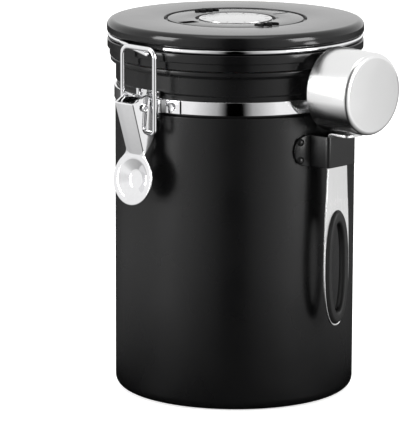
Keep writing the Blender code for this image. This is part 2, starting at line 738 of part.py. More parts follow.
def build_lid_base():
    """The lid's lower moulding: a stepped rim, a recess for the gasket and a tapered plug."""
    hole = VALVE_STEM_RADIUS + CLEARANCE
    lip_inner = LID_STEP_RADIUS - LID_LIP_THICKNESS
    shoulder = GASKET_BOTTOM - PLUG_SHOULDER_DROP
    taper_radius = PLUG_RADIUS + (PLUG_FOOT_RADIUS - PLUG_RADIUS) * PLUG_TAPER_SHARES[0]
    taper_height = shoulder + (PLUG_BOTTOM - shoulder) * PLUG_TAPER_SHARES[1]
    corners = [
        ((hole, LID_BASE_TOP), 0),
        ((LID_BASE_RADIUS, LID_BASE_TOP), LID_BASE_EDGE),
        ((LID_BASE_RADIUS, LID_STEP_HEIGHT), LID_BASE_EDGE),
        ((LID_STEP_RADIUS, LID_STEP_HEIGHT), 0),
        ((LID_STEP_RADIUS, GASKET_BOTTOM), 0),
        ((lip_inner, GASKET_BOTTOM), 0),
        ((lip_inner, GASKET_RECESS_TOP), 0),
        ((PLUG_RADIUS, GASKET_RECESS_TOP), 0),
        ((PLUG_RADIUS, shoulder), 0),
        ((taper_radius, taper_height), 0),
        ((PLUG_FOOT_RADIUS, PLUG_BOTTOM), 0),
        ((PLUG_FOOT_RADIUS - PLUG_WALL, PLUG_BOTTOM), 0),
        ((PLUG_FOOT_RADIUS - PLUG_WALL, LID_FLOOR_BOTTOM), 0),
        ((hole, LID_FLOOR_BOTTOM), 0),
    ]
    base = turned("lid_base", rounded(corners, closed=True), "gloss_black_plastic")
    middle = LID_BASE_TOP - LID_FLOOR_THICKNESS / 2
    reach = LID_FLOOR_THICKNESS + 2 * OVERRUN
    return drill(base, "lid_base_holes", LID_SCREW_SHANK + CLEARANCE, lid_screw_places(middle), reach)


def build_lid_gasket():
    """The silicone ring between the lid and the can's rim."""
    top = GASKET_BOTTOM + GASKET_HEIGHT
    corners = [
        ((GASKET_INNER, top), 0),
        ((GASKET_OUTER, top), GASKET_EDGE),
        ((GASKET_OUTER, GASKET_BOTTOM), GASKET_EDGE),
        ((GASKET_INNER, GASKET_BOTTOM), 0),
    ]
    return turned("lid_gasket", rounded(corners, 1, True), "silicone")


def build_lid_cover():
    """The lid's top: a bull-nosed disc with a well for the dials and a foot inside the ring wire."""
    pocket = VALVE_STEM_RADIUS + OVERRUN
    corners = [
        ((0, WELL_FLOOR), 0),
        ((DIAL_WELL_RADIUS, WELL_FLOOR), 0),
        ((DIAL_WELL_RADIUS, COVER_TOP), DIAL_WELL_EDGE),
        ((COVER_RADIUS, COVER_TOP), COVER_NOSE),
        ((COVER_RADIUS, COVER_BOTTOM), COVER_LIP_ROUNDING),
        ((COVER_FOOT_RADIUS, COVER_BOTTOM), 0),
        ((COVER_FOOT_RADIUS, COVER_FOOT), 0),
        ((pocket, COVER_FOOT), 0),
        ((pocket, VALVE_POCKET_TOP), 0),
        ((0, VALVE_POCKET_TOP), 0),
    ]
    cover = turned("lid_cover", rounded(corners), "gloss_black_plastic", closed=False)
    depth = LID_SCREW_BITE + CLEARANCE + OVERRUN
    places = lid_screw_places(COVER_FOOT - OVERRUN + depth / 2)
    drill(cover, "lid_cover_holes", LID_SCREW_SHANK + CLEARANCE, places, depth)
    well_hub = cylinder_mesh("hub_socket", MONTH_HUB_RADIUS + CLEARANCE, MONTH_HUB_DEPTH + CLEARANCE + OVERRUN)
    socket = add_tool("hub_socket", well_hub)
    socket.location = (0, 0, WELL_FLOOR - MONTH_HUB_DEPTH - CLEARANCE)
    return boolean(cover, socket, "DIFFERENCE")


def build_lid_screws():
    """Four pan-head screws, driven up from below through the lid base into the cover."""
    shank_top = LID_FLOOR_THICKNESS + 2 * CLEARANCE + LID_SCREW_BITE
    profile = rounded([
        ((0, shank_top), 0),
        ((LID_SCREW_SHANK, shank_top), 0),
        ((LID_SCREW_SHANK, 0), 0),
        ((LID_SCREW_HEAD, 0), 0),
        ((LID_SCREW_HEAD, -LID_SCREW_HEAD_HEIGHT), LID_SCREW_HEAD_HEIGHT / 2),
        ((0, -LID_SCREW_HEAD_HEIGHT), 0),
    ], 1)
    mesh = tool_mesh(turned_tool("screw_guide", profile))
    return add_fasteners("lid_screw", mesh, "polished_steel", lid_screw_places(LID_FLOOR_BOTTOM - CLEARANCE))


def build_number_ring():
    """The printed ring that shows through the date dial's windows."""
    top = NUMBER_RING_BOTTOM + NUMBER_RING_THICKNESS
    corners = [
        (NUMBER_RING_OUTER, top),
        (NUMBER_RING_OUTER, NUMBER_RING_BOTTOM),
        (NUMBER_RING_INNER, NUMBER_RING_BOTTOM),
        (NUMBER_RING_INNER, top),
    ]
    return turned("number_ring", corners, "white_print_ring", VALVE_SEGMENTS)


def radial_place(azimuth, radius, height):
    """An upright place whose X axis points away from the lid's centre, azimuth counted from +X."""
    turn = Matrix.Rotation(math.radians(azimuth), 4, "Z")
    return turn @ Matrix.Translation((radius, 0, height))


def window_tool(name, azimuth, width, height):
    """A cutter with rounded corners for one window of the date dial."""
    half_length = DATE_WINDOW_LENGTH / 2
    corner = min(DATE_WINDOW_CORNER, width / 4)
    box = [
        ((half_length, -width / 2), corner),
        ((half_length, width / 2), corner),
        ((-half_length, width / 2), corner),
        ((-half_length, -width / 2), corner),
    ]
    tool = add_tool(name, plate_mesh(name, [rounded(box, 2, True)], height))
    tool.matrix_world = radial_place(azimuth, DATE_WINDOW_MIDDLE, (DIAL_TOP + DIAL_BOTTOM) / 2)
    return tool


def finger_grip_loop(azimuth):
    """A curved ridge whose outer side is a row of shallow waves."""
    start = math.radians(azimuth - FINGER_GRIP_SPAN / 2)
    span = math.radians(FINGER_GRIP_SPAN)
    outer = []
    inner = []
    for step in range(FINGER_GRIP_STEPS + 1):
        share = step / FINGER_GRIP_STEPS
        angle = start + span * share
        wave = FINGER_GRIP_WAVE * math.cos(math.tau * FINGER_GRIP_WAVES * share)
        ends = math.sin(math.pi * share) ** FINGER_GRIP_END_POWER
        outer_radius = FINGER_GRIP_RADIUS - wave + FINGER_GRIP_WIDTH * ends / 2
        inner_radius = FINGER_GRIP_RADIUS - wave - FINGER_GRIP_WIDTH * ends / 2
        outer.append((outer_radius * math.cos(angle), outer_radius * math.sin(angle)))
        inner.append((inner_radius * math.cos(angle), inner_radius * math.sin(angle)))
    return outer + inner[-2:0:-1]


def build_date_dial():
    """The turning ring with its two windows and its two wavy finger grips."""
    corners = [
        ((DIAL_OUTER, DIAL_TOP), DIAL_EDGE),
        ((DIAL_OUTER, DIAL_BOTTOM), 0),
        ((DIAL_INNER, DIAL_BOTTOM), 0),
        ((DIAL_INNER, DIAL_TOP), DIAL_EDGE),
    ]
    dial = turned("date_dial", rounded(corners, 1, True), "grey_dial_plastic")
    thickness = DIAL_TOP - DIAL_BOTTOM + 2 * OVERRUN
    for name, azimuth, width in (
        ("date_window", DATE_WINDOW_AZIMUTH, DATE_WINDOW_WIDTH),
        ("slit_window", SLIT_WINDOW_AZIMUTH, SLIT_WINDOW_WIDTH),
    ):
        boolean(dial, window_tool(name, azimuth, width, thickness), "DIFFERENCE")
    loops = [finger_grip_loop(azimuth) for azimuth in FINGER_GRIP_AZIMUTHS]
    grips = add_tool("finger_grips", plate_mesh("finger_grips", loops, 2 * FINGER_GRIP_HEIGHT))
    grips.location = (0, 0, DIAL_TOP)
    return boolean(dial, grips, "UNION")


def build_month_disc():
    """The turning disc in the middle of the dials, hollow below for its hub."""
    hub = MONTH_HUB_RADIUS + CLEARANCE
    hub_top = WELL_FLOOR + MONTH_HUB_RISE + CLEARANCE
    corners = [
        ((0, MONTH_DISC_TOP), 0),
        ((MONTH_DISC_RADIUS, MONTH_DISC_TOP), DIAL_EDGE),
        ((MONTH_DISC_RADIUS, NUMBER_RING_BOTTOM), 0),
        ((hub, NUMBER_RING_BOTTOM), 0),
        ((hub, hub_top), 0),
        ((0, hub_top), 0),
    ]
    return turned("month_disc", rounded(corners, 1), "silver_disc", MIDDLE_SEGMENTS, False)


def build_dial_hub():
    """The pin under the month disc, seated in the well's socket."""
    mesh = cylinder_mesh("dial_hub", MONTH_HUB_RADIUS, MONTH_HUB_DEPTH + MONTH_HUB_RISE)
    hub = add_piece("dial_hub", mesh, "polished_steel")
    hub.location = (0, 0, WELL_FLOOR - MONTH_HUB_DEPTH)
    return hub


def build_valve_body():
    """The valve's seat: a flanged stem with a middle hole and a ring of gas holes."""
    corners = [
        (VALVE_STEM_RADIUS, VALVE_STEM_TOP),
        (VALVE_STEM_RADIUS, VALVE_FLANGE_TOP),
        (VALVE_FLANGE_RADIUS, VALVE_FLANGE_TOP),
        (VALVE_FLANGE_RADIUS, VALVE_FLANGE_BOTTOM),
        (VALVE_CENTRE_HOLE, VALVE_FLANGE_BOTTOM),
        (VALVE_CENTRE_HOLE, VALVE_STEM_TOP),
    ]
    body = turned("valve_body", corners, "gloss_black_plastic", VALVE_SEGMENTS)
    middle = (VALVE_STEM_TOP + VALVE_FLANGE_BOTTOM) / 2
    reach = VALVE_STEM_TOP - VALVE_FLANGE_BOTTOM + 2 * OVERRUN
    places = ring_places(VALVE_GAS_HOLES, VALVE_GAS_CIRCLE, middle)
    return drill(body, "valve_gas_holes", VALVE_GAS_HOLE, places, reach)


def build_valve_flap():
    """The silicone umbrella that lets gas out and no air in."""
    bottom = VALVE_STEM_TOP + CLEARANCE
    corners = [
        ((0, bottom + FLAP_THICKNESS), 0),
        ((FLAP_RADIUS, bottom + FLAP_THICKNESS), FLAP_THICKNESS / 2),
        ((FLAP_RADIUS, bottom), 0),
        ((FLAP_STEM_RADIUS, bottom), 0),
        ((FLAP_STEM_RADIUS, bottom - FLAP_STEM_LENGTH), 0),
        ((0, bottom - FLAP_STEM_LENGTH), 0),
    ]
    return turned("valve_flap", rounded(corners), "silicone", VALVE_SEGMENTS, False)


def build_valve_filter():
    """The fine disc that keeps grounds out of the valve."""
    mesh = cylinder_mesh("valve_filter", FILTER_RADIUS, FILTER_THICKNESS, VALVE_SEGMENTS)
    disc = add_piece("valve_filter", mesh, "filter_mesh")
    disc.location = (0, 0, FILTER_BOTTOM)
    return disc


def build_valve_cap():
    """The cup with gas holes that holds the filter under the valve."""
    inner = VALVE_FLANGE_RADIUS + CLEARANCE
    outer = inner + VALVE_CAP_WALL
    bottom = VALVE_CAP_FLOOR - VALVE_CAP_WALL
    corners = [
        ((0, VALVE_CAP_FLOOR), 0),
        ((inner, VALVE_CAP_FLOOR), 0),
        ((inner, VALVE_FLANGE_TOP), 0),
        ((outer, VALVE_FLANGE_TOP), 0),
        ((outer, bottom), VALVE_CAP_EDGE),
        ((0, bottom), 0),
    ]
    cap = turned("valve_cap", rounded(corners, 1), "gloss_black_plastic", VALVE_SEGMENTS, False)
    places = ring_places(VALVE_CAP_HOLES, VALVE_CAP_CIRCLE, VALVE_CAP_FLOOR - VALVE_CAP_WALL / 2)
    return drill(cap, "valve_cap_holes", VALVE_CAP_HOLE, places, VALVE_CAP_WALL + 2 * OVERRUN)


def hook_points():
    """The ring's left end, which swings out of the groove and dips under the latch loop's bar."""
    start_reach = math.sqrt(RING_RADIUS ** 2 - HOOK_START_SIDE ** 2)
    points = []
    for step in range(HOOK_STEPS + 1):
        share = step / HOOK_STEPS
        side = HOOK_START_SIDE + (HOOK_END_SIDE - HOOK_START_SIDE) * share
        reach = HOOK_REACH - (HOOK_REACH - start_reach) * (1 - share) ** HOOK_EASE
        fall = max(0, share - HOOK_DROP_START_SHARE) / (1 - HOOK_DROP_START_SHARE)
        points.append((side, -reach, RING_HEIGHT - HOOK_DROP * fall ** HOOK_DROP_POWER))
    return points


def ring_arc(start, end):
    """Points of the ring's round part between two azimuths counted from the latch towards +X."""
    steps = max(2, round(abs(end - start) / RING_ARC_STEP))
    plan = arc((0, 0), RING_RADIUS, start - 90, end - 90, steps)
    return [(x, y, RING_HEIGHT) for x, y in plan]


def build_lid_ring_wire():
    """One wire: front end, round the right side, down through the hinge, up, and round to the hook."""
    end_azimuth = math.degrees(math.asin(RING_END_SIDE / RING_RADIUS))
    hook_azimuth = math.degrees(math.asin(HOOK_START_SIDE / RING_RADIUS))
    leg = [
        (HINGE_LEG_SIDE, HINGE_REACH, RING_HEIGHT),
        (HINGE_LEG_SIDE, HINGE_REACH, HINGE_HEIGHT),
        (-HINGE_LEG_SIDE, HINGE_REACH, HINGE_HEIGHT),
        (-HINGE_LEG_SIDE, HINGE_REACH, RING_HEIGHT),
    ]
    right = ring_arc(end_azimuth, RING_LEAVE_AZIMUTH)
    left = ring_arc(-RING_LEAVE_AZIMUTH, hook_azimuth)
    bends = rounded([(right[-1], 0), *[(corner, RING_BEND) for corner in leg], (left[0], 0)])
    path = right + bends[1:-1] + left[:-1] + hook_points()
    mesh = curve_to_mesh(wire_curve("lid_ring_wire", path, WIRE_RADIUS), "lid_ring_wire")
    return add_piece("lid_ring_wire", mesh, "polished_steel")


def build_hinge_plate():
    """The rear hinge leaf: a plate against the band, whose arm curls round the ring wire."""
    arm_top = HINGE_HEIGHT + HINGE_BARREL_RADIUS
    arm_bottom = arm_top - HINGE_PLATE_THICKNESS
    meet = math.degrees(math.asin((arm_bottom - HINGE_HEIGHT) / HINGE_BARREL_RADIUS))
    barrel = arc((HINGE_REACH, HINGE_HEIGHT), HINGE_BARREL_RADIUS, 180 - meet, 450, SMALL_SEGMENTS)
    outline = [
        (HINGE_PLATE_FRONT, HINGE_PLATE_BOTTOM),
        (HINGE_PLATE_BACK, HINGE_PLATE_BOTTOM),
        (HINGE_PLATE_BACK, arm_bottom),
        *barrel,
        (HINGE_PLATE_BACK, arm_top),
        (HINGE_PLATE_BACK, HINGE_PLATE_TOP),
        (HINGE_PLATE_FRONT, HINGE_PLATE_TOP),
    ]
    hole = circle_loop((HINGE_REACH, HINGE_HEIGHT), HINGE_BARREL_HOLE)
    mesh = plate_mesh("hinge_plate", [outline, hole], 2 * HINGE_BARREL_HALF_LENGTH)
    plate = add_piece("hinge_plate", mesh, "polished_steel")
    _, outward = side_axes(180)
    plate.matrix_world = frame_matrix(Vector((0, 0, 0)), outward, UP)
    radius = RIVET_SHANK_RADIUS + CLEARANCE
    return drill(plate, "hinge_plate_holes", radius, hinge_rivet_places(), 2 * OVERRUN + 2 * HINGE_PLATE_THICKNESS)


def hinge_rivet_places():
    """Places of the hinge leaf's two rivets, their Z axes pointing to the rear."""
    _, outward = side_axes(180)
    places = []
    for side in (1, -1):
        origin = outward * (HINGE_PLATE_BACK + CLEARANCE) + UP * HINGE_RIVET_HEIGHT
        origin.x = side * HINGE_RIVET_SIDE
        places.append(frame_matrix(origin, side_axes(180)[0], UP))
    return places


def build_hinge_rivets():
    """The two rivets that hold the hinge leaf to the band."""
    mesh = rivet_mesh("hinge_rivet", HINGE_RIVET_SHARE)
    return add_fasteners("hinge_rivet", mesh, "polished_steel", hinge_rivet_places())


def latch_frame(side=0.0):
    """Frame of the latch's side view: X outwards, Y up, moved sideways."""
    across, outward = side_axes(0)
    return frame_matrix(across * side, outward, UP)


def build_latch_base():
    """The stamped base: a plate with a window and a rod at each end, and two ears for the lever."""
    window_left = BAND_KNUCKLE_SIDE - BAND_KNUCKLE_RADIUS - LATCH_WINDOW_MARGIN
    window_right = LATCH_PLATE_HALF_WIDTH + OVERRUN
    plate_loop = rounded([
        ((LATCH_PLATE_HALF_WIDTH, LATCH_PLATE_BOTTOM), LATCH_PLATE_CORNER),
        ((LATCH_PLATE_HALF_WIDTH, LATCH_PLATE_TOP), LATCH_PLATE_CORNER),
        ((-LATCH_PLATE_HALF_WIDTH, LATCH_PLATE_TOP), LATCH_PLATE_CORNER),
        ((-LATCH_PLATE_HALF_WIDTH, LATCH_PLATE_BOTTOM), LATCH_PLATE_CORNER),
    ], closed=True)
    base = add_piece("latch_base", plate_mesh("latch_base", [plate_loop], LATCH_PLATE_THICKNESS), "polished_steel")
    across, outward = side_axes(0)
    middle = LATCH_PLATE_BACK + LATCH_PLATE_THICKNESS / 2
    base.matrix_world = frame_matrix(outward * middle, across, UP)
    window_bottom = BAND_BOTTOM - LATCH_WINDOW_MARGIN
    window_top = BAND_TOP + LATCH_WINDOW_MARGIN
    for name, side in (("right_window", 1), ("left_window", -1)):
        loop = [
            (side * window_left, window_bottom),
            (side * window_right, window_bottom),
            (side * window_right, window_top),
            (side * window_left, window_top),
        ]
        tool = add_tool(name, plate_mesh(name, [loop], LATCH_PLATE_THICKNESS + 2 * OVERRUN))
        tool.matrix_world = base.matrix_world
        boolean(base, tool, "DIFFERENCE")
    pivot = (LEVER_PIVOT_REACH, LEVER_PIVOT_HEIGHT)
    ear_arc = arc(pivot, LATCH_EAR_RADIUS, LATCH_EAR_START, LATCH_EAR_END, SMALL_SEGMENTS)
    ear_loop = [(LATCH_PLATE_FACE - LATCH_PLATE_THICKNESS / 2, LATCH_EAR_BOTTOM), *ear_arc,
                (LATCH_PLATE_FACE - LATCH_PLATE_THICKNESS / 2, LATCH_EAR_TOP)]
    pin_hole = circle_loop(pivot, LEVER_PIN_RADIUS + CLEARANCE)
    ear = plate_mesh("latch_ear", [ear_loop, pin_hole], LATCH_EAR_THICKNESS)
    ear_side = LATCH_EAR_SIDE + LATCH_EAR_THICKNESS / 2
    ears = copies_mesh("latch_ears", ear, [latch_frame(ear_side), latch_frame(-ear_side)])
    boolean(base, add_tool("latch_ears", ears), "UNION")
    rod_start = LATCH_PLATE_BOTTOM + LATCH_ROD_RADIUS
    rod = cylinder_mesh("latch_rod", LATCH_ROD_RADIUS, LATCH_PLATE_TOP - LATCH_PLATE_BOTTOM - 2 * LATCH_ROD_RADIUS)
    places = [Matrix.Translation((side * BAND_KNUCKLE_SIDE, -KNUCKLE_REACH, rod_start)) for side in (1, -1)]
    boolean(base, add_tool("latch_rods", copies_mesh("latch_rods", rod, places)), "UNION")
    return base


def lever_frame():
    """The lever's frame at rest: X sideways, Y outwards from its front, Z down along it, at the pivot."""
    across, outward = side_axes(0)
    tilt = math.radians(LEVER_TILT)
    front = outward * math.cos(tilt) - UP * math.sin(tilt)
    return frame_matrix(outward * LEVER_PIVOT_REACH + UP * LEVER_PIVOT_HEIGHT, across, front)


def pad_frame():
    """The thumb pad's frame: the lever's, moved to its neck and bent outwards there."""
    return lever_frame() @ Matrix.Translation((0, LEVER_FRONT, LEVER_NECK)) @ PAD_BEND


def lever_half_width(along, out):
    """Half the lever's width: it tapers to the neck, and its cheeks splay towards the can."""
    share = (along - LEVER_REAR_TOP) / (LEVER_NECK - LEVER_REAR_TOP)
    front = LEVER_FRONT_TOP_HALF_WIDTH + (LEVER_FRONT_NECK_HALF_WIDTH - LEVER_FRONT_TOP_HALF_WIDTH) * share
    rear = LEVER_REAR_TOP_HALF_WIDTH + (LEVER_REAR_NECK_HALF_WIDTH - LEVER_REAR_TOP_HALF_WIDTH) * share
    return front + (rear - front) * (LEVER_FRONT - out) / (LEVER_FRONT - LEVER_REAR)


def lever_section(front_along, rear_along, rear):
    """One U-shaped section of the lever's channel, as ten corners."""
    wall = LEVER_THICKNESS
    front_half = lever_half_width(front_along, LEVER_FRONT)
    rear_half = lever_half_width(rear_along, rear)
    inside = LEVER_FRONT - wall
    shoulder = max(LEVER_FRONT - LEVER_FRONT_CHAMFER, rear)
    right = [
        (front_half - LEVER_FRONT_CHAMFER, LEVER_FRONT, front_along),
        (front_half, shoulder, front_along),
        (rear_half, rear, rear_along),
        (rear_half - wall, rear, rear_along),
        (front_half - wall, inside, front_along),
    ]
    return right + [(-side, out, along) for side, out, along in reversed(right)]


def loft_mesh(name, sections):
    """A closed solid through sections that have the same number of corners."""
    work = bmesh.new()
    rings = [[work.verts.new(point) for point in section] for section in sections]
    count = len(rings[0])
    for lower, upper in zip(rings, rings[1:]):
        for index in range(count):
            after = (index + 1) % count
            work.faces.new((lower[index], lower[after], upper[after], upper[index]))
    work.faces.new(rings[0])
    work.faces.new(rings[-1])
    bmesh.ops.remove_doubles(work, verts=work.verts, dist=MERGE_DISTANCE)
    bmesh.ops.recalc_face_normals(work, faces=work.faces)
    mesh = bpy.data.meshes.new(name)
    work.to_mesh(mesh)
    work.free()
    return mesh


def build_latch_lever():
    """The stamped lever: a tapering channel with a dished thumb pad, turning on its pin."""
    inside = LEVER_FRONT - LEVER_THICKNESS
    sections = [
        lever_section(LEVER_FRONT_TOP, LEVER_REAR_TOP, LEVER_REAR),
        lever_section(LEVER_BELLY_BOTTOM, LEVER_BELLY_BOTTOM, LEVER_REAR),
        lever_section(LEVER_HEEL, LEVER_HEEL, LEVER_HEEL_OUT),
        lever_section(LEVER_NECK, LEVER_NECK, inside),
    ]
    tongue = Matrix.Translation((0, 0, LEVER_TONGUE))
    bend = Matrix.Translation((0, LEVER_FRONT, LEVER_NECK)) @ PAD_BEND @ tongue
    start = Matrix.Translation((0, -LEVER_FRONT, -LEVER_NECK))
    sections.append([bend @ start @ Vector(corner) for corner in sections[-1]])
    lever = add_piece("latch_lever", loft_mesh("latch_lever", sections), "polished_steel")
    lever.matrix_world = lever_frame()
    wall = LEVER_THICKNESS + 2 * PAD_PROUD
    profile = rounded([
        ((0, -PAD_DISH_DEPTH), 0),
        ((PAD_DISH_FLOOR_RADIUS, -PAD_DISH_DEPTH), 0),
        ((PAD_DISH_RADIUS, 0), 0),
        ((PAD_RADIUS, 0), PAD_EDGE),
        ((PAD_RADIUS, -wall), 0),
        ((PAD_DISH_RADIUS, -wall), 0),
        ((PAD_DISH_FLOOR_RADIUS, -PAD_DISH_DEPTH - wall), 0),
        ((0, -PAD_DISH_DEPTH - wall), 0),
    ], 2)
    pad = turned_tool("thumb_pad", profile, MIDDLE_SEGMENTS)
    pad_place = Matrix.Translation((0, PAD_PROUD, PAD_CENTRE))
    pad.matrix_world = pad_frame() @ pad_place @ Matrix.Rotation(math.radians(-90), 4, "X")
    boolean(lever, pad, "UNION")
    half = LEVER_REAR_TOP_HALF_WIDTH + OVERRUN
    turn = Matrix.Rotation(math.radians(90), 4, "Y")
    holes = [
        ("lever_pin_hole", Matrix.Identity(4), LEVER_PIN_RADIUS + CLEARANCE),
        ("loop_pin_hole", Matrix.Translation((0, LOOP_PIVOT_OUT, LOOP_PIVOT_ALONG)), WIRE_RADIUS + CLEARANCE),
    ]
    for name, place, radius in holes:
        drill(lever, name, radius, [lever_frame() @ place @ turn], 2 * half)
    return lever


def build_latch_pin():
    """The rivet pin through the lever and the ears, headed at both ends."""
    head_inner = lever_half_width(-LEVER_PIN_HEAD_RADIUS, -LEVER_PIN_HEAD_RADIUS) + CLEARANCE
    head_outer = head_inner + LEVER_PIN_HEAD_THICKNESS
    profile = [
        (0, head_outer),
        (LEVER_PIN_HEAD_RADIUS, head_outer),
        (LEVER_PIN_HEAD_RADIUS, head_inner),
        (LEVER_PIN_RADIUS, head_inner),
        (LEVER_PIN_RADIUS, -head_inner),
        (LEVER_PIN_HEAD_RADIUS, -head_inner),
        (LEVER_PIN_HEAD_RADIUS, -head_outer),
        (0, -head_outer),
    ]
    pin = turned("latch_pin", profile, "polished_steel", SMALL_SEGMENTS, False)
    _, outward = side_axes(0)
    origin = outward * LEVER_PIVOT_REACH + UP * LEVER_PIVOT_HEIGHT
    pin.matrix_world = frame_matrix(origin, outward, UP)
    return pin


def build_latch_loop():
    """The wire loop that pulls the lid down, hinged in the lever's cheeks."""
    pivot = lever_frame() @ Vector((0, LOOP_PIVOT_OUT, LOOP_PIVOT_ALONG))
    top = Vector((0, -LOOP_TOP_REACH, LOOP_TOP))
    rise = top - pivot
    end = Vector((LOOP_END_SIDE, 0, 0))
    side = Vector((LOOP_HALF_WIDTH, 0, 0))
    path = rounded([
        (-end, 0),
        (-side, LOOP_FOOT_BEND),
        (rise - side, LOOP_TOP_BEND),
        (rise + side, LOOP_TOP_BEND),
        (side, LOOP_FOOT_BEND),
        (end, 0),
    ])
    mesh = curve_to_mesh(wire_curve("latch_loop", path, WIRE_RADIUS), "latch_loop")
    loop = add_piece("latch_loop", mesh, "polished_steel")
    loop.location = pivot
    return loop


def scoop_frame(reach=0.0, height=0.0):
    """Frame of the scoop's front view: X sideways, Y up, Z outwards."""
    return outward_place(SCOOP_AZIMUTH, reach, height)


def scoop_side_frame():
    """Frame of the scoop's side view: X outwards, Y up."""
    _, outward = side_axes(SCOOP_AZIMUTH)
    return frame_matrix(Vector((0, 0, 0)), outward, UP)


def build_scoop_bowl():
    """The measuring bowl, turned, with its mouth towards the can."""
    profile = rounded([
        ((0, BOWL_DEPTH), 0),
        ((BOWL_RADIUS, BOWL_DEPTH), BOWL_EDGE),
        ((BOWL_RADIUS, 0), 0),
        ((BOWL_RADIUS - BOWL_WALL, 0), 0),
        ((BOWL_RADIUS - BOWL_WALL, BOWL_DEPTH - BOWL_WALL), BOWL_EDGE - BOWL_WALL),
        ((0, BOWL_DEPTH - BOWL_WALL), 0),
    ], 3)
    bowl = turned("scoop_bowl", profile, "brushed_steel", MIDDLE_SEGMENTS, False)
    bowl.matrix_world = scoop_frame(BOWL_REACH, BOWL_HEIGHT)
    return bowl


def handle_half(top):
    """The right half of the handle's outline, from a height down to its rounded end."""
    points = []
    for step in range(HANDLE_SIDE_STEPS):
        share = step / HANDLE_SIDE_STEPS
        height = top + (HANDLE_MIDDLE - top) * share
        way = (HANDLE_TAB_TOP - height) / (HANDLE_TAB_TOP - HANDLE_MIDDLE)
        ease = way * way * (3 - 2 * way)
        points.append((HANDLE_TOP_HALF_WIDTH + (HANDLE_HALF_WIDTH - HANDLE_TOP_HALF_WIDTH) * ease, height))
    for step in range(HANDLE_END_STEPS + 1):
        angle = math.radians(90 * step / HANDLE_END_STEPS)
        side = HANDLE_HALF_WIDTH * math.cos(angle) ** (2 / HANDLE_END_POWER)
        drop = (HANDLE_MIDDLE - HANDLE_BOTTOM) * math.sin(angle) ** (2 / HANDLE_END_POWER)
        points.append((side if step < HANDLE_END_STEPS else 0, HANDLE_MIDDLE - drop))
    return points


def oval_loop(half_width, half_length, steps=GRIP_STEPS):
    """A closed oval about the handle's middle, a little squarer than an ellipse."""
    points = []
    for step in range(steps):
        angle = math.tau * step / steps
        cosine = math.cos(angle)
        sine = math.sin(angle)
        x = half_width * math.copysign(abs(cosine) ** (2 / GRIP_POWER), cosine)
        y = half_length * math.copysign(abs(sine) ** (2 / GRIP_POWER), sine)
        points.append((x, y + HANDLE_MIDDLE))
    return points


def build_scoop_handle():
    """The flat steel handle: a tapering strip with an oval eye, bent outwards under the bowl."""
    outline = mirrored(handle_half(HANDLE_TAB_TOP - HANDLE_BEND - HANDLE_THICKNESS)[::-1])
    eye = oval_loop(HANDLE_HALF_WIDTH - HANDLE_RIM, GRIP_HALF_LENGTH + CLEARANCE)
    handle = add_piece("scoop_handle", plate_mesh("scoop_handle", [outline, eye], HANDLE_THICKNESS), "brushed_steel")
    handle.matrix_world = scoop_frame(HANDLE_REACH, 0)
    outer_bend = HANDLE_BEND + HANDLE_THICKNESS
    foot = HANDLE_TAB_TOP - 2 * outer_bend
    side_loop = rounded([
        ((HANDLE_INNER, foot), 0),
        ((HANDLE_INNER, HANDLE_TAB_TOP), outer_bend),
        ((HANDLE_INNER + HANDLE_TAB_LENGTH, HANDLE_TAB_TOP), 0),
        ((HANDLE_INNER + HANDLE_TAB_LENGTH, HANDLE_TAB_BOTTOM), 0),
        ((HANDLE_INNER + HANDLE_THICKNESS, HANDLE_TAB_BOTTOM), HANDLE_BEND),
        ((HANDLE_INNER + HANDLE_THICKNESS, foot), 0),
    ], closed=True)
    tab = add_tool("handle_tab", plate_mesh("handle_tab", [side_loop], 2 * HANDLE_TOP_HALF_WIDTH))
    tab.matrix_world = scoop_side_frame()
    return boolean(handle, tab, "UNION")


def build_scoop_grip():
    """The rubber oval pressed into the handle's eye, with a long finger slot."""
    outer = oval_loop(HANDLE_HALF_WIDTH - HANDLE_RIM - CLEARANCE, GRIP_HALF_LENGTH)
    slot = oval_loop(GRIP_SLOT_HALF_WIDTH, GRIP_SLOT_HALF_LENGTH)
    grip = add_piece("scoop_grip", plate_mesh("scoop_grip", [outer, slot], GRIP_THICKNESS), "black_rubber")
    grip.matrix_world = scoop_frame(HANDLE_REACH, 0)
    bevel = grip.modifiers.new("Soft edges", "BEVEL")
    bevel.width = GRIP_EDGE
    bevel.segments = 2
    bevel.limit_method = "ANGLE"
    bevel.angle_limit = math.radians(60)
    return grip


def strap_half():
    """The right half of the strap's hat-shaped plan, from its outer face round to its inner face."""
    wall_outer = STRAP_INNER_HALF + STRAP_THICKNESS
    foot_outer = math.sqrt(STRAP_FLANGE_OUTER ** 2 - wall_outer ** 2)
    foot_inner = math.sqrt(STRAP_FLANGE_INNER ** 2 - STRAP_INNER_HALF ** 2)
    outer_start = math.degrees(math.asin(wall_outer / STRAP_FLANGE_OUTER))
    inner_start = math.degrees(math.asin(STRAP_INNER_HALF / STRAP_FLANGE_INNER))
    end = math.degrees(math.asin((STRAP_HALF_SPAN + OVERRUN) / STRAP_FLANGE_INNER))
    front = rounded([
        ((0, STRAP_FACE), 0),
        ((wall_outer, STRAP_FACE), STRAP_BEND),
        ((wall_outer, foot_outer), 0),
    ])
    outer = arc((0, 0), STRAP_FLANGE_OUTER, 90 - outer_start, 90 - end, STRAP_ARC_STEPS)[1:]
    inner = arc((0, 0), STRAP_FLANGE_INNER, 90 - end, 90 - inner_start, STRAP_ARC_STEPS)[:-1]
    back = rounded([
        ((STRAP_INNER_HALF, foot_inner), 0),
        ((STRAP_INNER_HALF, STRAP_FACE_INNER), STRAP_BEND - STRAP_THICKNESS),
        ((0, STRAP_FACE_INNER), 0),
    ])
    return front + outer + inner + back


